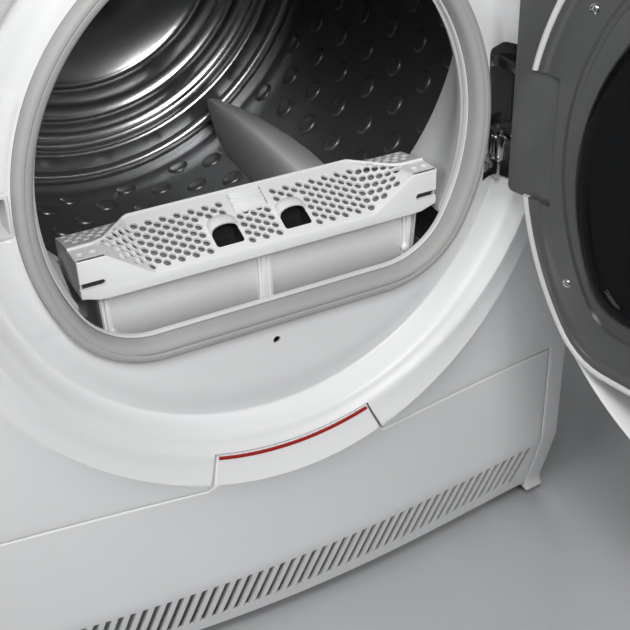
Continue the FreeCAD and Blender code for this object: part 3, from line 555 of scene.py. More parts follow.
def half_border():
    """Border from the top middle down the right side and along the gap back to the middle.

    Gives (point, outward direction) pairs, and the seam's first and last place among them.
    """
    corner = (HALF - TOP_CORNER, PANEL_TOP - TOP_CORNER)
    top = respaced([(0.0, PANEL_TOP - EDGE), (corner[0], PANEL_TOP - EDGE)], 10.0)
    border = [(p, (0.0, 1.0)) for p in top]
    for k in range(1, 6):
        n = polar(1.0, math.pi / 2 * k / 5)
        reach = TOP_CORNER - EDGE
        border.append(((corner[0] + n[0] * reach, corner[1] + n[1] * reach), n))
    side = respaced([(HALF - EDGE, corner[1]), (HALF - EDGE, GAP_Z + EDGE)], 10.0)
    border += [(p, (1.0, 0.0)) for p in side[1:]]
    seam_start = len(border) - 1
    border += [(p, (-1.0, -1.0)) for p in panel_seam()[1:]]
    seam_end = len(border) - 1
    gap = gap_border(80.2, 69.7, RIDGE_R + 0.6, GAP_Z, 5.0, GAP_X)
    gap = [p for p in gap if p[0] >= -1e-6]
    for p, n in list(zip(gap, outward(gap)))[1:]:
        if p[0] < 1e-6:
            n = (0.0, -1.0)
        border.append(((p[0] - n[0] * EDGE, p[1] - n[1] * EDGE), n))
    return border, seam_start, seam_end


def face_line(x, z):
    """Points of the face from the opening's rim to the border point x, z."""
    angle = math.atan2(x, z - OPENING_Z)
    limit = math.hypot(x, z - OPENING_Z)
    ridge = min(RIDGE_R, limit - 1.6)
    crease = min(CREASE_R, ridge + 0.7 * (limit - ridge))
    warp = [(226, 226), (230.0, min(230.0, ridge - 3)), (RIDGE_R, ridge), (CREASE_R, crease)]
    hole = d_radius(angle, SEAL_OUT) + 0.3
    radii = [hole + (FACE_RADII[0] - hole) * t for t in INNER_STEPS]
    radii += [r if r <= 226 else blend_between(r, warp) for r in FACE_RADII]
    flat = [about_opening(r, angle) for r in radii]
    flat += [mixed(flat[-1], (x, z), t) for t in OUTER_STEPS]
    line = [on_front(*p) for p in flat]
    rim_x, rim_y, rim_z = line[0]
    return [(rim_x, rim_y + 5.0, rim_z)] + line


def front_panel():
    """The upper panel with the dish, and the strips down both sides of the plinth flap."""
    half, seam_start, seam_end = half_border()
    far_side = [((-p[0], p[1]), (-n[0], n[1])) for p, n in reversed(half[1:-1])]
    whole = half + far_side
    lines = [face_line(*p) for p, _ in whole]
    shapes = [grid(lines + lines[:1])]
    top_run = (-seam_start, seam_start, 24.0)
    gap_run = (seam_end, len(whole) - seam_end, 14.0)
    for start, end, depth in (top_run, gap_run):
        chosen = [whole[i % len(whole)] for i in range(start, end + 1)]
        normals = [n for _, n in chosen]
        if start < 0:
            normals[0], normals[-1] = (-1.0, 0.0), (1.0, 0.0)
        shapes.append(skirt([p for p, _ in chosen], normals, depth))
    for s in (-1, 1):
        xs = [s * p[0] for p in panel_seam()]
        shapes.append(grid([[on_front(x, z) for x in xs] for z in SIDE_LEVELS]))
        wall = [(s * (HALF - EDGE), z) for z in SIDE_LEVELS]
        shapes.append(skirt(wall, [(s, 0.0)] * len(wall), 24.0))
        edge = [(s * (GAP_X + EDGE), z) for z in SIDE_LEVELS]
        lean = [(-s, -1.0 if i == 0 else 0.0) for i in range(len(edge))]
        shapes.append(skirt(edge, lean, 14.0))
    obj = sheet("front_panel_skin", combine(*shapes), 2.2)
    pocket = bar(*HINGE_POCKET, 4.0, 3)
    strike_hole = bar(STRIKE_X, (-6, 60), STRIKE_Z, 2.5, 3)
    drain = lathe([(0.01, 0), (3.2, 0), (3.2, 40), (0.01, 40)], *DRAIN_HOLE, 24)
    carve(obj, pocket, strike_hole, drain)
    dress(obj, white_plastic, "casing", ["front_panel"], sharp=28)


FLAP_HALF = 276.5
FLAP_FOOT = 21.0
FLAP_TOP = 195.6
FLAP_LEVELS = [FLAP_FOOT + EDGE, 26, 32, 38, 45, 52, 60, 66, 72, 78, 84, 91, 98, 108, 120, 134,
               148, 160, 170, 178]
FLAP_UPPER = 183.0
SLOT_PITCH = 10.4
SLOT_COUNT = 49
SLOT_OUTLINE = [(0.0, 37), (5.2, 37), (17.2, 84), (12, 84), (0.0, 37)]


def plinth_flap():
    """The flap with its raised tab and the slanted slots of the air grille."""
    border = list(reversed(gap_border(78.4, 68.6, RIDGE_R + 1.6, FLAP_TOP, 6.4, FLAP_HALF)))
    normals = outward(border)
    normals[0], normals[-1] = (-1.0, 1.0), (1.0, 1.0)
    top = [(p[0] - n[0] * EDGE, p[1] - n[1] * EDGE) for p, n in zip(border, normals)]
    columns = []
    for x, z in top:
        crease = OPENING_Z - math.sqrt(max(1.0, CREASE_R ** 2 - x ** 2))
        crease = min(crease, FLAP_UPPER + 0.75 * (z - FLAP_UPPER))
        rows = FLAP_LEVELS + [FLAP_UPPER + (crease - FLAP_UPPER) * t
                              for t in (0, 0.4, 0.75, 0.93, 1)]
        rows += [crease + (z - crease) * t for t in (0.07, 0.2, 0.4, 0.6, 0.8, 0.93, 1)]
        columns.append([on_front(x, row) for row in rows])
    shapes = [grid(columns), skirt(top, normals, 9.0)]
    sides = [([(top[0][0], p[2]) for p in columns[0]], (-1.0, 0.0), (-1.0, -1.0), (-1.0, 1.0)),
             ([(top[-1][0], p[2]) for p in columns[-1]], (1.0, 0.0), (1.0, -1.0), (1.0, 1.0)),
             ([(x, FLAP_FOOT + EDGE) for x, _ in top], (0.0, -1.0), (-1.0, -1.0), (1.0, -1.0))]
    for line, n, first, last in sides:
        shapes.append(skirt(line, [first] + [n] * (len(line) - 2) + [last], 9.0))
    obj = sheet("flap_skin", combine(*shapes), 2.4)
    slots = []
    for i in range(SLOT_COUNT):
        start = -250 + SLOT_PITCH * i
        outline = [(start + x, z) for x, z in SLOT_OUTLINE]
        slots.append(prism(rounded_path(outline, [0, 1.2, 1.2, 1.2, 0], 0.9)[:-1], -12, 62))
    carve(obj, *slots)
    dress(obj, white_plastic, "flap", ["plinth_flap"], sharp=28)


STRIP_HALF = 67.4
STRIP_LOW = RIDGE_R + 1.6
STRIP_HIGH = RIDGE_R + 4.0


def strip():
    """The accent strip along the tab's upper edge: a thin rounded ribbon."""
    section = ((STRIP_LOW, 0.3), (RIDGE_R + 1.9, -0.5), (RIDGE_R + 3.7, -0.5), (STRIP_HIGH, 0.3),
               (STRIP_HIGH, 1.6), (STRIP_LOW, 1.6))
    rows = []
    count = 60
    for i in range(count + 1):
        a = math.asin(STRIP_HALF / STRIP_LOW) * (2 * i / count - 1)
        rows.append([on_front(r * math.sin(a), OPENING_Z - r * math.cos(a), back)
                     for r, back in section])
    ribbon = capped(grid(rows, closed=True), len(section))
    piece("accent_ribbon", ribbon, accent_red, "flap", ["accent_strip"])


front_panel()
plinth_flap()
strip()


def cover_plate():
    """Blank plate over the spare hinge place, standing a little proud of the dish."""
    rows = []
    start, end = math.radians(-62), math.radians(-117.5)
    for i in range(41):
        a = start + (end - start) * i / 40
        fall = min(1.0, min(i, 40 - i) / 2.0)
        inner = d_radius(a, SEAL_OUT) + 2.0
        row = []
        for k in range(13):
            lift = 0.9 * min(1.0, fall, min(k, 12 - k) / 1.5)
            flat = about_opening(inner + (212.5 - inner) * k / 12, a)
            row.append(on_front(*flat, -lift + 0.05))
        rows.append(row)
    obj = sheet("hinge_blank", grid(rows), 1.4)
    carve(obj, block((-213, -187.2), (0, 60), (440, 476)))
    dress(obj, white_plastic, "casing", ["hinge_cover_plate"])


def strike():
    """Socket for the door's latch hook: a rounded frame round a dark well."""
    wall = 2.6
    obj = solid("latch_socket", bar(STRIKE_X, (21.5, 43), STRIKE_Z, 1.2, 3))
    well_x = (STRIKE_X[0] + wall, STRIKE_X[1] - wall)
    well_z = (STRIKE_Z[0] + wall, STRIKE_Z[1] - wall)
    carve(obj, bar(well_x, (14, 41), well_z, 1.5))
    dress(obj, lip_grey, "casing", ["latch_strike"])


cover_plate()
strike()


# ---------- seal and collar
RING_COUNT = 180


def d_rows(stations):
    """Rings of a D outline; stations are (D shape, y)."""
    rows = []
    for shape, y in stations:
        flat = [about_opening(d_radius(a, shape), a) for a in turns(RING_COUNT)]
        rows.append([(x, y, z) for x, z in flat])
    return rows


def d_ring(stations):
    """Closed band that follows a D outline, its section given by the stations."""
    rows = d_rows(stations)
    return grid(rows + rows[:1], closed=True)


SEAL_SECTION = [(0.0, 27.8), (0.0, 20.0), (0.02, 16.4), (0.07, 13.8), (0.15, 12.4), (0.26, 11.8),
                (0.38, 11.7), (0.46, 11.9), (0.49, 12.6), (0.52, 12.6), (0.55, 12.0), (0.66, 12.2),
                (0.78, 12.8), (0.88, 14.2), (0.95, 16.4), (0.99, 19.0), (1.0, 22.0), (1.0, 27.8)]


def door_seal():
    """The grooved rubber ring round the opening."""
    ring = d_ring([(mixed(SEAL_OUT, SEAL_IN, t), y) for t, y in SEAL_SECTION])
    piece("seal_ring", ring, rubber, "casing", ["door_seal"], sharp=60)


COLLAR_FRONT = 30.5
COLLAR_BACK = 85
COLLAR_BACK_R = 208
FILTER_GAP = ((-152.8, 152.8), (30.0, 83.4), (250, 392))


def collar():
    """The rounded lip behind the seal, the wall from the D opening to the round drum, its flange;
    the lip is lighter than the wall as a painted highlight on the collar's front edge.
    """
    outer = mixed(SEAL_OUT, SEAL_IN, 1.02)
    inner = mixed(SEAL_OUT, SEAL_IN, 1.15)
    lip = [(outer, 30.8), (outer, 26.4), (mixed(outer, inner, 0.15), 25.7),
           (mixed(outer, inner, 0.5), 25.4), (mixed(outer, inner, 0.85), 25.7),
           (inner, 26.4), (inner, 28.2), (mixed(outer, inner, 0.8), 30.8)]
    # lip_grey on the collar's own front edge: a painted highlight, lighter than the wall's grey
    piece("collar_lip", d_ring(lip), lip_grey, "casing", sharp=60)
    rows = []
    for k in range(15):
        t = k / 14
        ease = t * t * (3 - 2 * t)
        row = []
        for a in turns(RING_COUNT):
            x0, z0 = about_opening(d_radius(a, inner), a)
            x1, z1 = polar(COLLAR_BACK_R, a, 0.0, DRUM_Z)
            y = COLLAR_FRONT + (COLLAR_BACK - COLLAR_FRONT) * t
            row.append((x0 + (x1 - x0) * ease, y, z0 + (z1 - z0) * ease))
        rows.append(row)
    obj = sheet("collar_wall", grid(rows, closed=True), 2.5)
    carve(obj, block(*FILTER_GAP))
    dress(obj, collar_grey, "casing", ["front_shroud"], sharp=40)
    flange = lathe([(209.5, 83.8), (231, 83.8), (232, 84.6), (232, 87.8), (209.5, 87.8)],
                   0, DRUM_Z, 96, loop=True)
    piece("collar_flange", flange, collar_grey, "casing")


door_seal()
collar()


# ---------- drum
def dome(angle, y):
    """Low oval bump on the drum's inner face, angle from straight down towards +X."""
    rows = []
    for level, rise in ((1.0, -0.3), (0.97, 0.35), (0.88, 0.72), (0.62, 0.93), (0.3, 1.0)):
        row = []
        r = DRUM_R - DOME_HIGH * rise
        for t in turns(DOME_SIDES):
            turn = angle + DOME_HALF_ROUND * level * math.sin(t) / DRUM_R
            row.append((r * math.sin(turn), y + DOME_HALF_Y * level * math.cos(t),
                        DRUM_Z - r * math.cos(turn)))
        rows.append(row)
    return end_capped(grid(rows, closed=True), DOME_SIDES)


ROWS_ROUND = 54
DOME_STEP = 53.3
DOME_FIRST = (43.9, 387.5)
DOME_HALF_Y = 10.6
DOME_HALF_ROUND = 11.6
DOME_HIGH = 2.8
DOME_SIDES = 20


def drum():
    """The turned shell with its rows of bumps; every other row is shifted by half a step."""
    shell = [(215, 93.6), (216, 96.6), (240, 107.5), (262, 119), (268.8, 123.6), (272.6, 127.6),
             (274.6, 132), (DRUM_R, 137), (DRUM_R, 210), (DRUM_R, 300), (DRUM_R, 390),
             (DRUM_R, 470.2), (DRUM_R + 1, 470.2), (DRUM_R + 1, 134.6), (268.8, 122.4),
             (216, 95.0), (216, 93.6)]
    shapes = [lathe(shell, 0, DRUM_Z, 192, loop=True)]
    for i in range(ROWS_ROUND):
        angle = math.radians(DOME_FIRST[0] + 360 / ROWS_ROUND * i)
        from_lifter = min(abs((math.degrees(angle) - LIFTER_ANGLE - 120 * k + 180) % 360 - 180)
                          for k in range(3))
        for k in range(-5, 4):
            y = DOME_FIRST[1] + DOME_STEP * (k + 0.5 * (i % 2))
            if from_lifter > 7.5 and 152 < y < 452:
                shapes.append(dome(angle, y))
    piece("drum_body", combine(*shapes), drum_steel, "drum", ["drum_shell"],
          sharp=50)


# Section of the rear wall from the middle outwards: radius, and height in front of the wall.
REAR_RINGS = [(0.01, 7), (58, 7), (63, 5.6), (67, 1.2), (72, 0.6), (152, 0.6), (155, 3.4),
              (160, 4.6), (165, 3.4), (168, 0.6), (188, 0.6), (191, 3.2), (195.5, 4.4), (200, 3.2),
              (203, 0.4), (215, 0.4), (217, 2.6), (219, 3.1), (221, 2.6), (223, 0.4), (225.2, 1.6),
              (227, 2.0), (229, 0.4), (234, 0.4), (236.4, 2.2), (239, 0.4), (253, 0.4), (256, 4.0),
              (261, 6.4), (266, 5.0), (269, 0.9), (DRUM_R - 1, 0.6), (DRUM_R + 0.4, 0.6),
              (DRUM_R + 0.4, -1.4), (0.01, -1.4)]
HUB = [(0.01, 11.5), (12, 11), (30, 9.6), (44, 8.2), (48, 7.2), (48, 6.4), (0.01, 6.4)]


def rear_wall():
    """The drum's ringed back and its hub."""
    def turned(section, count):
        return lathe([(r, DRUM_BACK - high) for r, high in section], 0, DRUM_Z, count)

    piece("drum_back", turned(REAR_RINGS, 192), rear_steel, "drum",
          ["drum_rear_wall"], sharp=50)
    piece("drum_hub_cap", turned(HUB, 96), lifter_grey, "drum")


# Stations along a lifter: y, half width, height.
LIFTER = [(168, 7, 2), (190, 15, 18), (215, 23, 36), (250, 28, 50), (300, 31, 60), (350, 31, 60),
          (400, 28, 56), (432, 22, 50), (452, 14, 40), (463, 8, 24)]


def lifters():
    """Three tall ribs with rounded crests along the drum."""
    rows = []
    for y, half, high in LIFTER:
        row = []
        for i in range(21):
            s = i / 10 - 1
            rise = max(0.0, 1 - abs(s) ** 1.7) ** 0.72
            x = half * s * (1 - 0.25 * rise)
            base = math.sqrt((DRUM_R - 0.6) ** 2 - x * x)
            row.append((x, y, DRUM_Z - base + high * rise))
        rows.append(row)
    lifter = capped(grid(rows), 21)
    shapes = []
    for k in range(3):
        turn = math.radians(LIFTER_ANGLE + 120 * k)

        def swing(p, turn=turn):
            dx, dz = p[0], p[2] - DRUM_Z
            return (dx * math.cos(turn) - dz * math.sin(turn), p[1],
                    DRUM_Z + dx * math.sin(turn) + dz * math.cos(turn))

        shapes.append(moved(lifter, swing))
    piece("drum_ribs", combine(*shapes), lifter_grey, "drum",
          ["drum_lifters"], sharp=50)


drum()
rear_wall()
lifters()


# ---------- lint filter, lifted
F_TOP = 407.3
F_LOW = 382.3
F_FRONT = 30.4
F_BACK = 80.4
F_HALF = 149.5
RAMP = math.atan2(F_TOP + 1.2 - F_LOW, F_BACK - F_FRONT)
HOLE_PITCH = 11.55
HOLE_ROW = 3.85
HOLE_ROWS = 11
HOLE_R = 2.85
HOLE_SIDES = 18
POCKETS = [(-40.2, -17.4), (17.4, 40.2)]
POCKET_Y = (37.0, 58.0)


def top_height(x, y):
    """Height of the filter's faceted top: a ramp in the middle between two flat ends."""
    back = max(0.0, min(1.0, (y - F_FRONT) / (F_BACK - F_FRONT)))
    ramp = F_LOW + (F_TOP + 1.2 - F_LOW) * back
    edge = blend_between(back, [(0.0, 127.5), (0.45, 121.0), (0.75, 104.0), (1.0, 97.5)])
    inner = min(92.0 + 5.0 * back, edge - 0.6)
    t = max(0.0, min(1.0, (abs(x) - inner) / (edge - inner)))
    return ramp + (F_TOP - ramp) * t


def crease_y(x):
    """Where the front half's back edge runs, seen from above."""
    return blend_between(abs(x), [(0, F_BACK), (97, F_BACK), (103, 74), (121, 56), (130, 52.5),
                                  (152, 52)])


def filter_top():
    """The faceted, perforated top plate with two finger pockets and a gap for the catch."""
    bends = (92, 97, 127.5, 103, 121, 130)
    spread = [F_HALF * i / 60 for i in range(61)] + list(bends)
    xs = sorted({round(s * v, 2) for v in spread for s in (-1, 1)})
    rows = []
    for x in xs:
        ys = [F_FRONT + (crease_y(x) - F_FRONT) * k / 16 for k in range(17)]
        rows.append([(x, y, top_height(x, y)) for y in ys])
    obj = sheet("filter_top", grid(rows), 2.8, facing_up=True)
    holes = []
    for k in range(HOLE_ROWS):
        down = 11.0 + HOLE_ROW * k
        y = F_BACK - down * math.cos(RAMP)
        for i in range(-13, 14):
            x = HOLE_PITCH * (i + 0.5 * (k % 2))
            if not blocked(x, down):
                holes.append(hole_tool(x, y, top_height(x, y)))
    for x in (-143.5, -134.0, 134.0, 143.5):
        holes.append(hole_tool(x, 40.0, F_TOP))
    pockets = [bar(x, POCKET_Y, (360, 420), 2.0) for x in POCKETS]
    catch_gap = block((-14.2, 14.2), (61.5, 78.2), (380, 420))
    carve(obj, *holes, crossing=True)
    carve(obj, *pockets, catch_gap)
    dress(obj, filter_white, "lint_filter", ["filter_grille"], sharp=30)


def blocked(x, down):
    """True where no round hole is drilled, down being the distance from the ramp's upper edge."""
    x = abs(x)
    at_edge = x > 128 or x > 99 and down < 14.5 or x > 112 and down < 22 or x > 118 and down > 41
    at_catch = x < 17.5 and down < 22.0
    first, last = POCKETS[1]
    return at_edge or at_catch or first - 4.5 < x < last + 4.5 and down > 19.0


def hole_tool(x, y, z):
    """Tapered drill square to the faceted top, with a small lead-in."""
    reach = 4.0
    slope_x = (top_height(x + reach, y) - top_height(x - reach, y)) / (2 * reach)
    slope_y = (top_height(x, y + reach) - top_height(x, y - reach)) / (2 * reach)
    axis = Vector((-slope_x, -slope_y, 1)).normalized()
    across = axis.cross(Vector((1, 0, 0))).normalized()
    side = across.cross(axis)
    centre = Vector((x, y, z))
    rows = []
    for along, r in ((3.0, HOLE_R + 0.5), (0.1, HOLE_R + 0.5), (-0.5, HOLE_R), (-6.0, HOLE_R - 0.2)):
        rows.append([tuple(centre + axis * along + side * (r * math.cos(t))
                           + across * (r * math.sin(t))) for t in turns(HOLE_SIDES)])
    return capped(grid(rows, closed=True), HOLE_SIDES)


def hood(x):
    """Scoop over a finger pocket: a half dome open to the front."""
    rows = []
    half = (x[1] - x[0]) / 2 + 1.2
    middle = (x[0] + x[1]) / 2
    back, front = 60.5, 47.6
    for k in range(13):
        t = k / 12
        y = back + (front - back) * t
        swell = math.sqrt(max(0.0, 1 - (1 - t) ** 2))
        row = []
        for i in range(17):
            a = math.pi * i / 16
            px = middle - half * math.cos(a) * (0.55 + 0.45 * swell)
            lift = 8.4 * swell * math.sin(a) ** 0.8
            row.append((px, y, top_height(px, y) - 0.6 + lift))
        rows.append(row)
    return grid(rows)


def pocket_walls(x):
    """Open box under a pocket."""
    floor = 380.0
    loop = [(x[0], POCKET_Y[0]), (x[1], POCKET_Y[0]), (x[1], POCKET_Y[1]), (x[0], POCKET_Y[1])]
    path = rounded_path(loop + loop[:2], [0, 2, 2, 2, 2, 0])[1:-1]
    rows = []
    for level in (0.0, 1.0):
        rows.append([(px, py, top_height(px, py) * (1 - level) - 0.6 * (1 - level) + floor * level)
                     for px, py in path])
    return end_capped(grid(rows, closed=True), len(path))


def filter_details():
    """Hoods of the finger pockets and their wells, walled in black as painted shade, the screen
    under the holes, the ribbed catch.
    """
    for name, x in zip(("left", "right"), POCKETS):
        obj = sheet("finger_hood_" + name, hood(x), 1.5, facing_up=True)
        dress(obj, filter_white, "lint_filter", sharp=50)
        # the pocket's walls in black plastic: painted shade inside the pocket
        well = sheet("finger_well_" + name, pocket_walls(x), 0.8)
        dress(well, black_plastic, "lint_filter", sharp=50)
    base = [(13.6, 61.8), (13.6, 78.0), (-13.6, 78.0), (-13.6, 61.8)]
    rows = [[(x, y, top_height(x, y) - drop) for x, y in base] for drop in (3.0, 0.4)]
    catch = [bevelled(capped(grid(rows, closed=True), 4), 0.5, 2)]
    for i in range(4):
        y = 66.4 + 3.1 * i
        z = top_height(0, y)
        outline = [(y - 1.0, z - 1), (y - 1.0, z + 0.9), (y, z + 1.9), (y + 1.0, z + 1.2),
                   (y + 1.0, z - 1)]
        catch.append(bevelled(prism(outline, -13.0, 13.0, "x"), 0.35, 2))
    under = []
    for i in range(41):
        x = -126.0 + 6.3 * i
        ys = (F_FRONT + 4, 44, 54, crease_y(x) - 1.5)
        under.append([(x, y, top_height(x, y) - 6.5) for y in ys])
    screen = sheet("filter_under_screen", grid(under), 0.6)
    carve(screen, *[block((x[0] - 1.5, x[1] + 1.5), (35.5, 59.5), (360, 420)) for x in POCKETS])
    dress(screen, mid_grey, "lint_filter")
    piece("filter_catch", combine(*catch), filter_white, "lint_filter",
          ["filter_latch"])


F_POST = 136.0
F_WINDOW_TOP = 366.0
F_WINDOW_LOW = 240
F_WINDOWS = [(-126.5, -5.6), (6.2, 126.5)]
F_FACE = 43.0
F_FLOOR = 226.0
F_SHELL_Y = 84.0
RAIL = [(-F_HALF, 377.5), (-F_HALF, F_TOP), (-127.5, F_TOP), (-92, F_LOW), (92, F_LOW),
        (127.5, F_TOP), (F_HALF, F_TOP), (F_HALF, 377.5), (135.8, 373.2), (128, 372.6),
        (-128, 372.6), (-135.8, 373.2)]
SHELF = [(F_FRONT + 2, 374.5), (F_FRONT + 4.5, 371.0), (F_FACE - 1.5, 367.2), (F_FACE, 365.0),
         (F_FACE + 2.0, 365.0), (F_FACE + 2.0, 376.0), (F_FRONT + 2.4, 377.0)]


def filter_rail():
    """The front rail with a slot at each end and a thin black sheet behind each slot as painted
    shade.
    """
    obj = solid("filter_rail", bevelled(prism(RAIL, F_FRONT - 0.4, F_FRONT + 3.2), 0.9, 3))
    slots, slot_shades = [], []
    for s in (-1, 1):
        near, far = sorted((s * 130.5, s * 154.0))
        outline = [(near, 384.2), (near, 389.6), (far, 389.6), (far, 384.2), (near, 384.2)]
        slots.append(prism(rounded_path(outline, [0, 2.4, 2.4, 2.4, 0])[:-1], 20, 36))
        # thin black sheet just behind the slot: painted shade inside it
        slot_shades.append(block((s * 129.0, s * 146.5), (F_FRONT + 2.9, F_FRONT + 3.6), (381, 393)))
    carve(obj, *slots)
    piece("filter_slot_shades", combine(*slot_shades), black_plastic, "lint_filter")
    dress(obj, filter_white, "lint_filter")


def filter_front():
    """The frame round the two mesh windows, with its shelf, ribs and side studs."""
    outline = [(-F_POST, 367), (-F_POST + 7, F_FLOOR), (F_POST - 7, F_FLOOR), (F_POST, 367)]
    face = solid("filter_front", bevelled(prism(outline, F_FACE, F_FACE + 2.6), 0.8, 2))
    cuts = []
    for a, b in F_WINDOWS:
        window = rounded_path([(a, 300), (a, F_WINDOW_TOP), (b, F_WINDOW_TOP), (b, F_WINDOW_LOW),
                               (a, F_WINDOW_LOW), (a, 300)], [0, 6, 4, 6, 6, 0])
        cuts.append(prism(window[:-1], F_FACE - 5, F_FACE + 6))
    carve(face, *cuts)
    dress(face, filter_white, "lint_filter", ["filter_frame"])
    ribs = [prism(SHELF, -F_POST, F_POST, "x")]
    for x in (-2.2, 2.8):
        ribs.append(bar((x - 1.5, x + 1.5), (F_FACE - 2.4, F_FACE + 2),
                        (F_WINDOW_LOW, F_WINDOW_TOP), 0.9))
    stud = [(0.01, F_FACE - 3.4), (2.6, F_FACE - 3.2), (3.4, F_FACE - 2.0), (3.4, F_FACE + 1)]
    for s in (-1, 1):
        outer = sorted((s * 128.2, s * 131.0))
        ribs.append(bar(outer, (F_FACE - 3.0, F_FACE + 2), (250, 367), 0.9))
        ribs.append(lathe(stud, s * 128.5, 336.5, 20))
    piece("filter_ribs", combine(*ribs), filter_white, "lint_filter")


def filter_shell():
    """Side walls and back wall of the filter's body."""
    shapes = []
    for s in (-1, 1):
        outer = s * (F_HALF - 0.5)
        rows = []
        for y, top in ((F_FRONT + 1.5, F_TOP - 1), (52.0, F_TOP - 1.4), (60.0, 404.0),
                       (F_SHELL_Y, 402.0)):
            rows.append([(outer, y, top), (outer, y, 376.0), (s * F_POST, max(y, 38.0), 371.0),
                         (s * (F_POST - 2), max(y, 40.0), 330.0),
                         (s * (F_POST - 7), max(y, 42.0), F_FLOOR)])
        shapes.append(grid(rows))
    back = []
    for x, top in ((-149.0, 402.0), (-100.0, 403.0), (-96.0, 407.0), (96.0, 407.0), (100.0, 403.0),
                   (149.0, 402.0)):
        low = math.copysign(min(abs(x), F_POST - 7), x)
        back.append([(x, F_SHELL_Y, top), (x, F_SHELL_Y, 376), (low, 82.0, F_FLOOR)])
    obj = sheet("filter_back_shell", combine(*shapes, grid(back)), 1.6)
    dress(obj, shell_grey, "lint_filter", sharp=30)


def filter_slopes():
    """The back half's perforated corners, which fall away behind the crease."""
    shapes, holes = [], []
    for s in (-1, 1):
        rows = []
        for x in (149.0, 142, 136, 130, 125, 121, 115, 109, 103, 99.5, 97.2):
            start = crease_y(x)
            rows.append([(s * x, start + (F_SHELL_Y - start) * k / 8,
                          F_TOP + 0.2 - 5.0 * (k / 8) ** 1.2) for k in range(9)])
        shapes.append(grid(rows))
        for k in range(4):
            y = 80.5 - 5.6 * k
            for i in range(6):
                x = 100.5 + 8.6 * i + 4.3 * (k % 2)
                if y > crease_y(x) + 4.0 and x < 146:
                    holes.append(hole_tool(s * x, y, F_TOP - 3.0))
    obj = sheet("filter_back_slopes", combine(*shapes), 1.8, facing_up=True)
    carve(obj, *holes)
    dress(obj, shell_grey, "lint_filter", sharp=30)


def filter_edge():
    """Rounded edge along the crease between the front and the back half."""
    rows = []
    for x in [-149.5 + 299.0 * i / 120 for i in range(121)]:
        y = crease_y(x)
        z = F_TOP + (1.2 if abs(x) < 97 else 0.4)
        rows.append([(x, y - 1.5, z - 0.5), (x, y - 0.9, z + 0.8), (x, y + 0.1, z + 1.1),
                     (x, y + 0.8, z + 0.4), (x, y + 0.9, z - 1.2)])
    piece("filter_back_edge", grid(rows), filter_white, "lint_filter", sharp=60)


def filter_cloth():
    """Mesh panes behind the front's windows and at the back, a little slack."""
    panes = []
    for a, b in F_WINDOWS:
        for y in (F_FACE + 2.3, 80.0):
            rows = []
            for k in range(13):
                z = F_WINDOW_LOW + (F_WINDOW_TOP - F_WINDOW_LOW) * k / 12
                sag = 1.2 * math.sin(math.pi * k / 12)
                rows.append([(a + (b - a) * i / 16, y + sag * math.sin(math.pi * i / 16), z)
                             for i in range(17)])
            panes.append(grid(rows))
    piece("filter_cloth", combine(*panes), mesh_cloth, "lint_filter", ["filter_mesh"])


filter_top()
filter_details()
filter_rail()
filter_front()
filter_shell()
filter_slopes()
filter_edge()
filter_cloth()


# ---------- door, drawn closed
def opened(shape):
    """A shape drawn with the door closed, swung about the hinge to the open door."""
    turn = math.radians(DOOR_OPEN)

    def swing(p):
        dx, dy = p[0] - HINGE[0], p[1] - HINGE[1]
        return (HINGE[0] + dx * math.cos(turn) - dy * math.sin(turn),
                HINGE[1] + dx * math.sin(turn) + dy * math.cos(turn), p[2])

    return moved(shape, swing)


DOOR_CENTRE_R = 187.6
LINER = (237.4, 279.0, 56.0)
LINER_EDGE = (243.4, 272.8, 62.0)
HINGE_SLOT = ((209, 257), (-51, 4), (398, 500))
# Glass plug that reaches into the seal: D shape and y, from the liner to the middle.
PLUG = [((172.0, 344.5, 36.0), -11.0), ((171.6, 344.9, 36.0), -6.0), ((170.8, 345.7, 36.0), 8.0),
        ((170.0, 346.5, 36.2), 11.6), ((168.0, 348.2, 36.6), 14.6), ((165.0, 350.8, 37.4), 16.0),
        ((160.0, 355.4, 39.0), 16.2), ((157.0, 358.0, 40.0), 15.4), ((155.4, 359.6, 40.6), 13.2),
        ((152.0, 362.8, 41.0), 12.4), ((90.0, 400.0, 26.0), 10.6), ((40.0, 430.0, 12.0), 10.0)]
# Sections of the door's rings. The band goes from the liner's edge to the liner and the liner
# from there to the plug, both as (part of the way, y); the rim and the pane as (radius, y).
BAND = [(0.0, -15.0), (0.0, -11.0), (0.1, -9.4), (0.3, -8.4), (0.55, -8.1), (0.8, -8.6),
        (0.95, -9.8), (1.0, -11.4), (1.0, -15.0)]
LINER_SECTION = [(0.0, -13.0), (0.0, -9.6), (0.02, -9.0), (0.08, -9.0), (0.11, -10.6),
                 (0.14, -10.8), (0.18, -9.4), (0.3, -8.8), (0.56, -8.2), (0.585, -10.2),
                 (0.64, -10.2), (0.665, -8.2), (0.75, -8.2), (0.86, -9.2), (0.97, -10.0),
                 (1.0, -12.6)]
RIM = [(240.4, -14.6), (241.0, -13.2), (242.4, -12.4), (243.6, -13.0), (244.0, -14.6), (244, -30),
       (244, -44), (243.3, -46.6), (241.6, -49.0), (236, -54.6), (233.5, -56.2), (212, -59.2),
       (188, -61), (DOOR_CENTRE_R, -60.4), (188, -57.4), (212, -55.0), (234, -51.6), (239.8, -45),
       (240.4, -42), (240.4, -28)]
PANE = [(0.01, -68), (30, -67.9), (60, -67.4), (90, -66.6), (120, -65.4), (150, -63.8),
        (180, -61.6), (186.4, -61.0), (187.4, -60.2), (DOOR_CENTRE_R, -57.6), (120, -61.8),
        (60, -63.8), (0.01, -64.4)]
HINGE_LOBE = [(205, 470), (205, 640), (240, 640), (257, 590), (257, 395), (205, 395), (205, 470)]


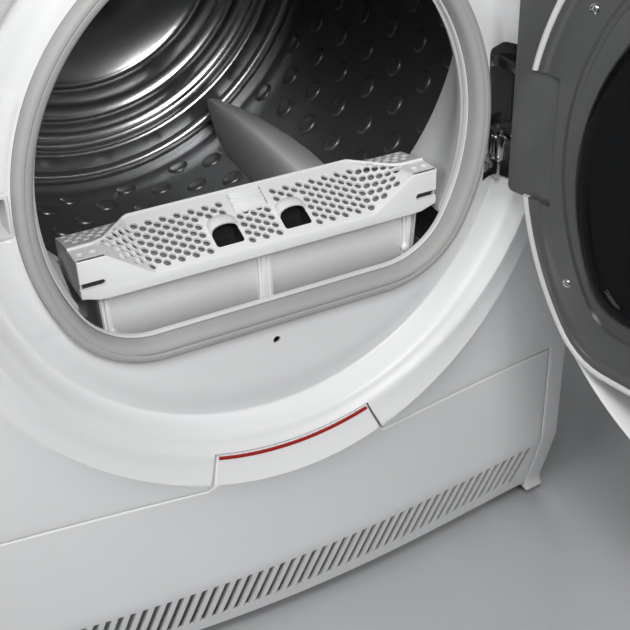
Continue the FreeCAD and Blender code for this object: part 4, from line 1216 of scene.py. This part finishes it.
def door():
    """Band, rim, outer pane, liner, hinge cover, glass plug and screws."""
    slot = opened(block(*HINGE_SLOT))
    band = solid("door_edge_band", opened(d_ring([(mixed(LINER_EDGE, LINER, t), y)
                                                  for t, y in BAND])))
    carve(band, slot)
    dress(band, lip_grey, "door")
    rim = solid("door_rim", opened(lathe(RIM, 0, OPENING_Z, 180, loop=True)))
    carve(rim, slot)
    dress(rim, white_plastic, "door", ["door_outer_ring"])
    piece("door_pane", opened(lathe(PANE, 0, OPENING_Z, 144)), black_glass, "door",
          ["door_glass"], sharp=40)
    rows = d_rows([(mixed(LINER, PLUG[0][0], t), y) for t, y in LINER_SECTION])
    liner = sheet("door_liner", opened(grid(rows, closed=True)), 2.0)
    carve(liner, slot)
    dress(liner, dark_grey, "door", ["door_inner_frame"], sharp=35)
    lobe = rounded_path(HINGE_LOBE, [0, 4, 14, 60, 5, 4, 0])[:-1]
    piece("door_hinge_cover", opened(bevelled(prism(lobe, -15.6, -12.9), 0.8, 2)), dark_grey,
          "door")
    bowl = end_capped(grid(d_rows(PLUG), closed=True), RING_COUNT)
    piece("door_bowl", opened(bowl), smoked_glass, "door", ["door_window"],
          sharp=35)
    screws = []
    for angle in (20, 60, 120, 160, 200, 240, 300, 340):
        a = math.radians(angle)
        x, z = about_opening(d_radius(a, mixed(LINER, PLUG[0][0], 0.36)), a)
        screws.append(screw_head(x, -8.8, z, 4.0))
    piece("door_fixings", opened(combine(*screws)), polished, "door",
          ["door_screws"])


def screw_head(x, y, z, radius, face=1):
    """Domed screw head facing +Y, or -Y with face -1; a cross recess lies between its quarters."""
    count = 32
    rows = []
    for r, rise in ((1.0, 0.0), (0.98, 0.4), (0.85, 1.0), (0.6, 1.4), (0.32, 1.5), (0.24, 0.7)):
        row = []
        for i, (px, pz) in enumerate(circle(x, z, radius * r, count)):
            notch = 0.8 if r < 0.7 and i % 8 in (0, 1, 7) else 0.0
            row.append((px, y + face * max(0.1, rise - notch), pz))
        rows.append(row)
    return end_capped(grid(rows, closed=True), count)


def hinge():
    """The steel bracket on the casing with its two arms and its fixing."""
    x, y = HINGE
    shapes = [bar((190.5, 231), (36, 39), (388, 430), 1.0),
              bar((192.0, 231.0), (46, 50), (390, 496), 1.0),
              bar((209, 214), (33, 37), (392, 426), 0.8),
              bar((203, 206), (22, 38), (388, 404), 0.8)]
    for low, high in ((414.0, 424.0), (474.0, 484.0)):
        arm = [(227.0, y), (227.0, 47), (217.0, 47), (217.0, y)]
        shapes.append(bevelled(prism(arm, low, high, "z"), 1.0, 2))
        eye = circle(x, y, 6)
        shapes.append(bevelled(prism(eye, low - 0.05, high + 0.05, "z"), 0.6, 2))
    shapes.append(bevelled(prism(circle(210, 30, 5), 402, 421, "z"), 0.8, 2))
    piece("hinge_arm", combine(*shapes), polished, "casing", ["hinge_bracket"])
    fixing = screw_head(199.0, 36.2, 396.0, 4.4, face=-1)
    piece("hinge_fixing", fixing, polished, "casing")


door()
hinge()


# ---------- controls
KNOB = (-40.0, 768.0)
KNOB_SECTION = [(0.01, -24.0), (20, -24.0), (22.6, -23.6), (24.4, -22.6), (26.4, -20.4),
                (27.6, -16), (28.2, -2.0), (28.2, bow(KNOB[0]) - 1.0)]
KNOB_RIDGES = 36


def dial():
    """The knob's ridged skin with a pointer groove."""
    rows = []
    for r, y in KNOB_SECTION:
        row = []
        for a in turns(4 * KNOB_RIDGES):
            wave = 0.45 * math.cos(a * KNOB_RIDGES) if r > 26 else 0.0
            px, pz = polar(r + wave, a, *KNOB)
            row.append((px, y, pz))
        rows.append(row)
    obj = sheet("dial", grid(rows, closed=True), 1.8)
    carve(obj, block((KNOB[0] - 0.9, KNOB[0] + 0.9), (-26, -23.1), (KNOB[1] + 8, KNOB[1] + 22)))
    dress(obj, white_plastic, "knob")


def dial_marks():
    """Sixteen plain ticks round the knob, every fourth of them longer and wider."""
    ticks = []
    for i in range(16):
        long = i % 4 == 0
        n = Vector(polar(1.0, math.radians(22.5 * i)))
        side = Vector((n.y, -n.x)) * (1.0 if long else 0.5)
        near, far = n * 33.5, n * (39.5 if long else 37.0)
        rows = []
        for pair in ((near - side, near + side), (far - side, far + side)):
            spots = [(KNOB[0] + q.x, KNOB[1] + q.y) for q in pair]
            rows.append([(px, bow(px) - 0.12, pz) for px, pz in spots])
        ticks.append(grid(rows))
    marks = sheet("dial_marks", combine(*ticks), 0.1)
    dress(marks, mid_grey, "casing")


dial()
dial_marks()

# CAD nodes that are shown as they are, by finish.
CAD_FINISH = [
    (white_plastic, "top_cover control_panel program_knob power_button start_button "
                    "container_front"),
    (white_steel, "left_side_panel right_side_panel"),
    (galvanised, "rear_panel front_bulkhead rear_bulkhead rear_duct motor"),
    (mid_grey, "base_tray container_shelf flap_pins filter_duct drum_shaft fan_housing "
               "drain_spigot"),
    (collar_grey, "water_container"),
    (black_rubber, "levelling_feet drive_belt"),
    (black_plastic, "support_roller_left support_roller_right idler_pulley fan_wheel "
                    "mains_inlet"),
    (polished, "drum_bearing roller_pins motor_shaft hinge_pin door_hinge_leaf "
               "door_latch_hook"),
    (black_glass, "display_lens"),
    (circuit_green, "control_board"),
    (felt, "drum_felt"),
    (black_paint, "compressor"),
    (aluminium_fins, "evaporator condenser"),
]
for look, names in CAD_FINISH:
    for name in names.split():
        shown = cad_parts[name]
        shown.data.materials.clear()
        shown.data.materials.append(look)


# ---------- studio
FLOOR_HALF = 9.0
FLOOR_Z = -0.2 * MM


def lamp(name, place, target, size, power):
    """Rectangular area light at place, in metres, aimed at target."""
    data = bpy.data.lights.new(name, "AREA")
    data.shape = "RECTANGLE"
    data.size, data.size_y = size
    data.energy = power
    light = linked(name, data)
    light.location = place
    aim = Vector(target) - Vector(place)
    light.rotation_mode = "QUATERNION"
    light.rotation_quaternion = aim.to_track_quat("-Z", "Y")


def studio():
    """Pale floor, dim world and four soft lamps."""
    sides = (-FLOOR_HALF, FLOOR_HALF)
    points, faces = grid([[(x, y, FLOOR_Z) for x in sides] for y in sides])
    mesh = bpy.data.meshes.new("floor")
    mesh.from_pydata(points, [], faces)
    mesh.materials.append(finish("floor_paint", (0.55, 0.56, 0.57), 0.6, grain=300, depth=0.05))
    floor = linked("floor", mesh)

    bpy.context.scene.view_settings.view_transform = "Standard"
    world = bpy.data.worlds.new("studio")
    bpy.context.scene.world = world
    world.use_nodes = True
    background = world.node_tree.nodes["Background"]
    background.inputs["Color"].default_value = (0.95, 0.97, 1.0, 1)
    background.inputs["Strength"].default_value = 0.045

    lamp("key", (-1.3, -0.55, 1.3), (-0.1, 0.0, 0.45), (0.8, 0.8), 9.6)
    lamp("front", (-0.1, -1.5, 1.35), (0.03, 0.3, 0.45), (0.5, 0.3), 10)
    lamp("opening", (-0.2, -0.6, 0.98), (0.05, 0.05, 0.40), (0.25, 0.25), 2.6)
    lamp("back", (0.9, 2.2, 2.2), (0.0, 0.4, 0.5), (1.6, 1.2), 14)


CAMERA_PLACE = (-322.2, -668.7, 793.6)
CAMERA_AZIMUTH = 27.14
CAMERA_DROP = 31.83
CAMERA_ROLL = -1.855
LENS = 65.54


def camera():
    """Camera looking to the right and down at the open door, turned a little about its axis."""
    data = bpy.data.cameras.new("camera")
    data.sensor_width = 36.0
    data.lens = LENS
    data.clip_start = 0.02
    cam = linked("camera", data)
    azimuth, drop, roll = (math.radians(a) for a in (CAMERA_AZIMUTH, CAMERA_DROP, CAMERA_ROLL))
    forward = Vector((math.sin(azimuth) * math.cos(drop), math.cos(azimuth) * math.cos(drop),
                      -math.sin(drop)))
    right = Vector((math.cos(azimuth), -math.sin(azimuth), 0))
    up = right.cross(forward)
    rolled_right = right * math.cos(roll) + up * math.sin(roll)
    rolled_up = up * math.cos(roll) - right * math.sin(roll)
    place = SHIFT + Vector(CAMERA_PLACE) * MM
    columns = (rolled_right, rolled_up, -forward, place)
    cam.matrix_world = Matrix([[column[i] for column in columns] for i in range(3)]
                              + [[0, 0, 0, 1]])
    bpy.context.scene.camera = cam


studio()
camera()
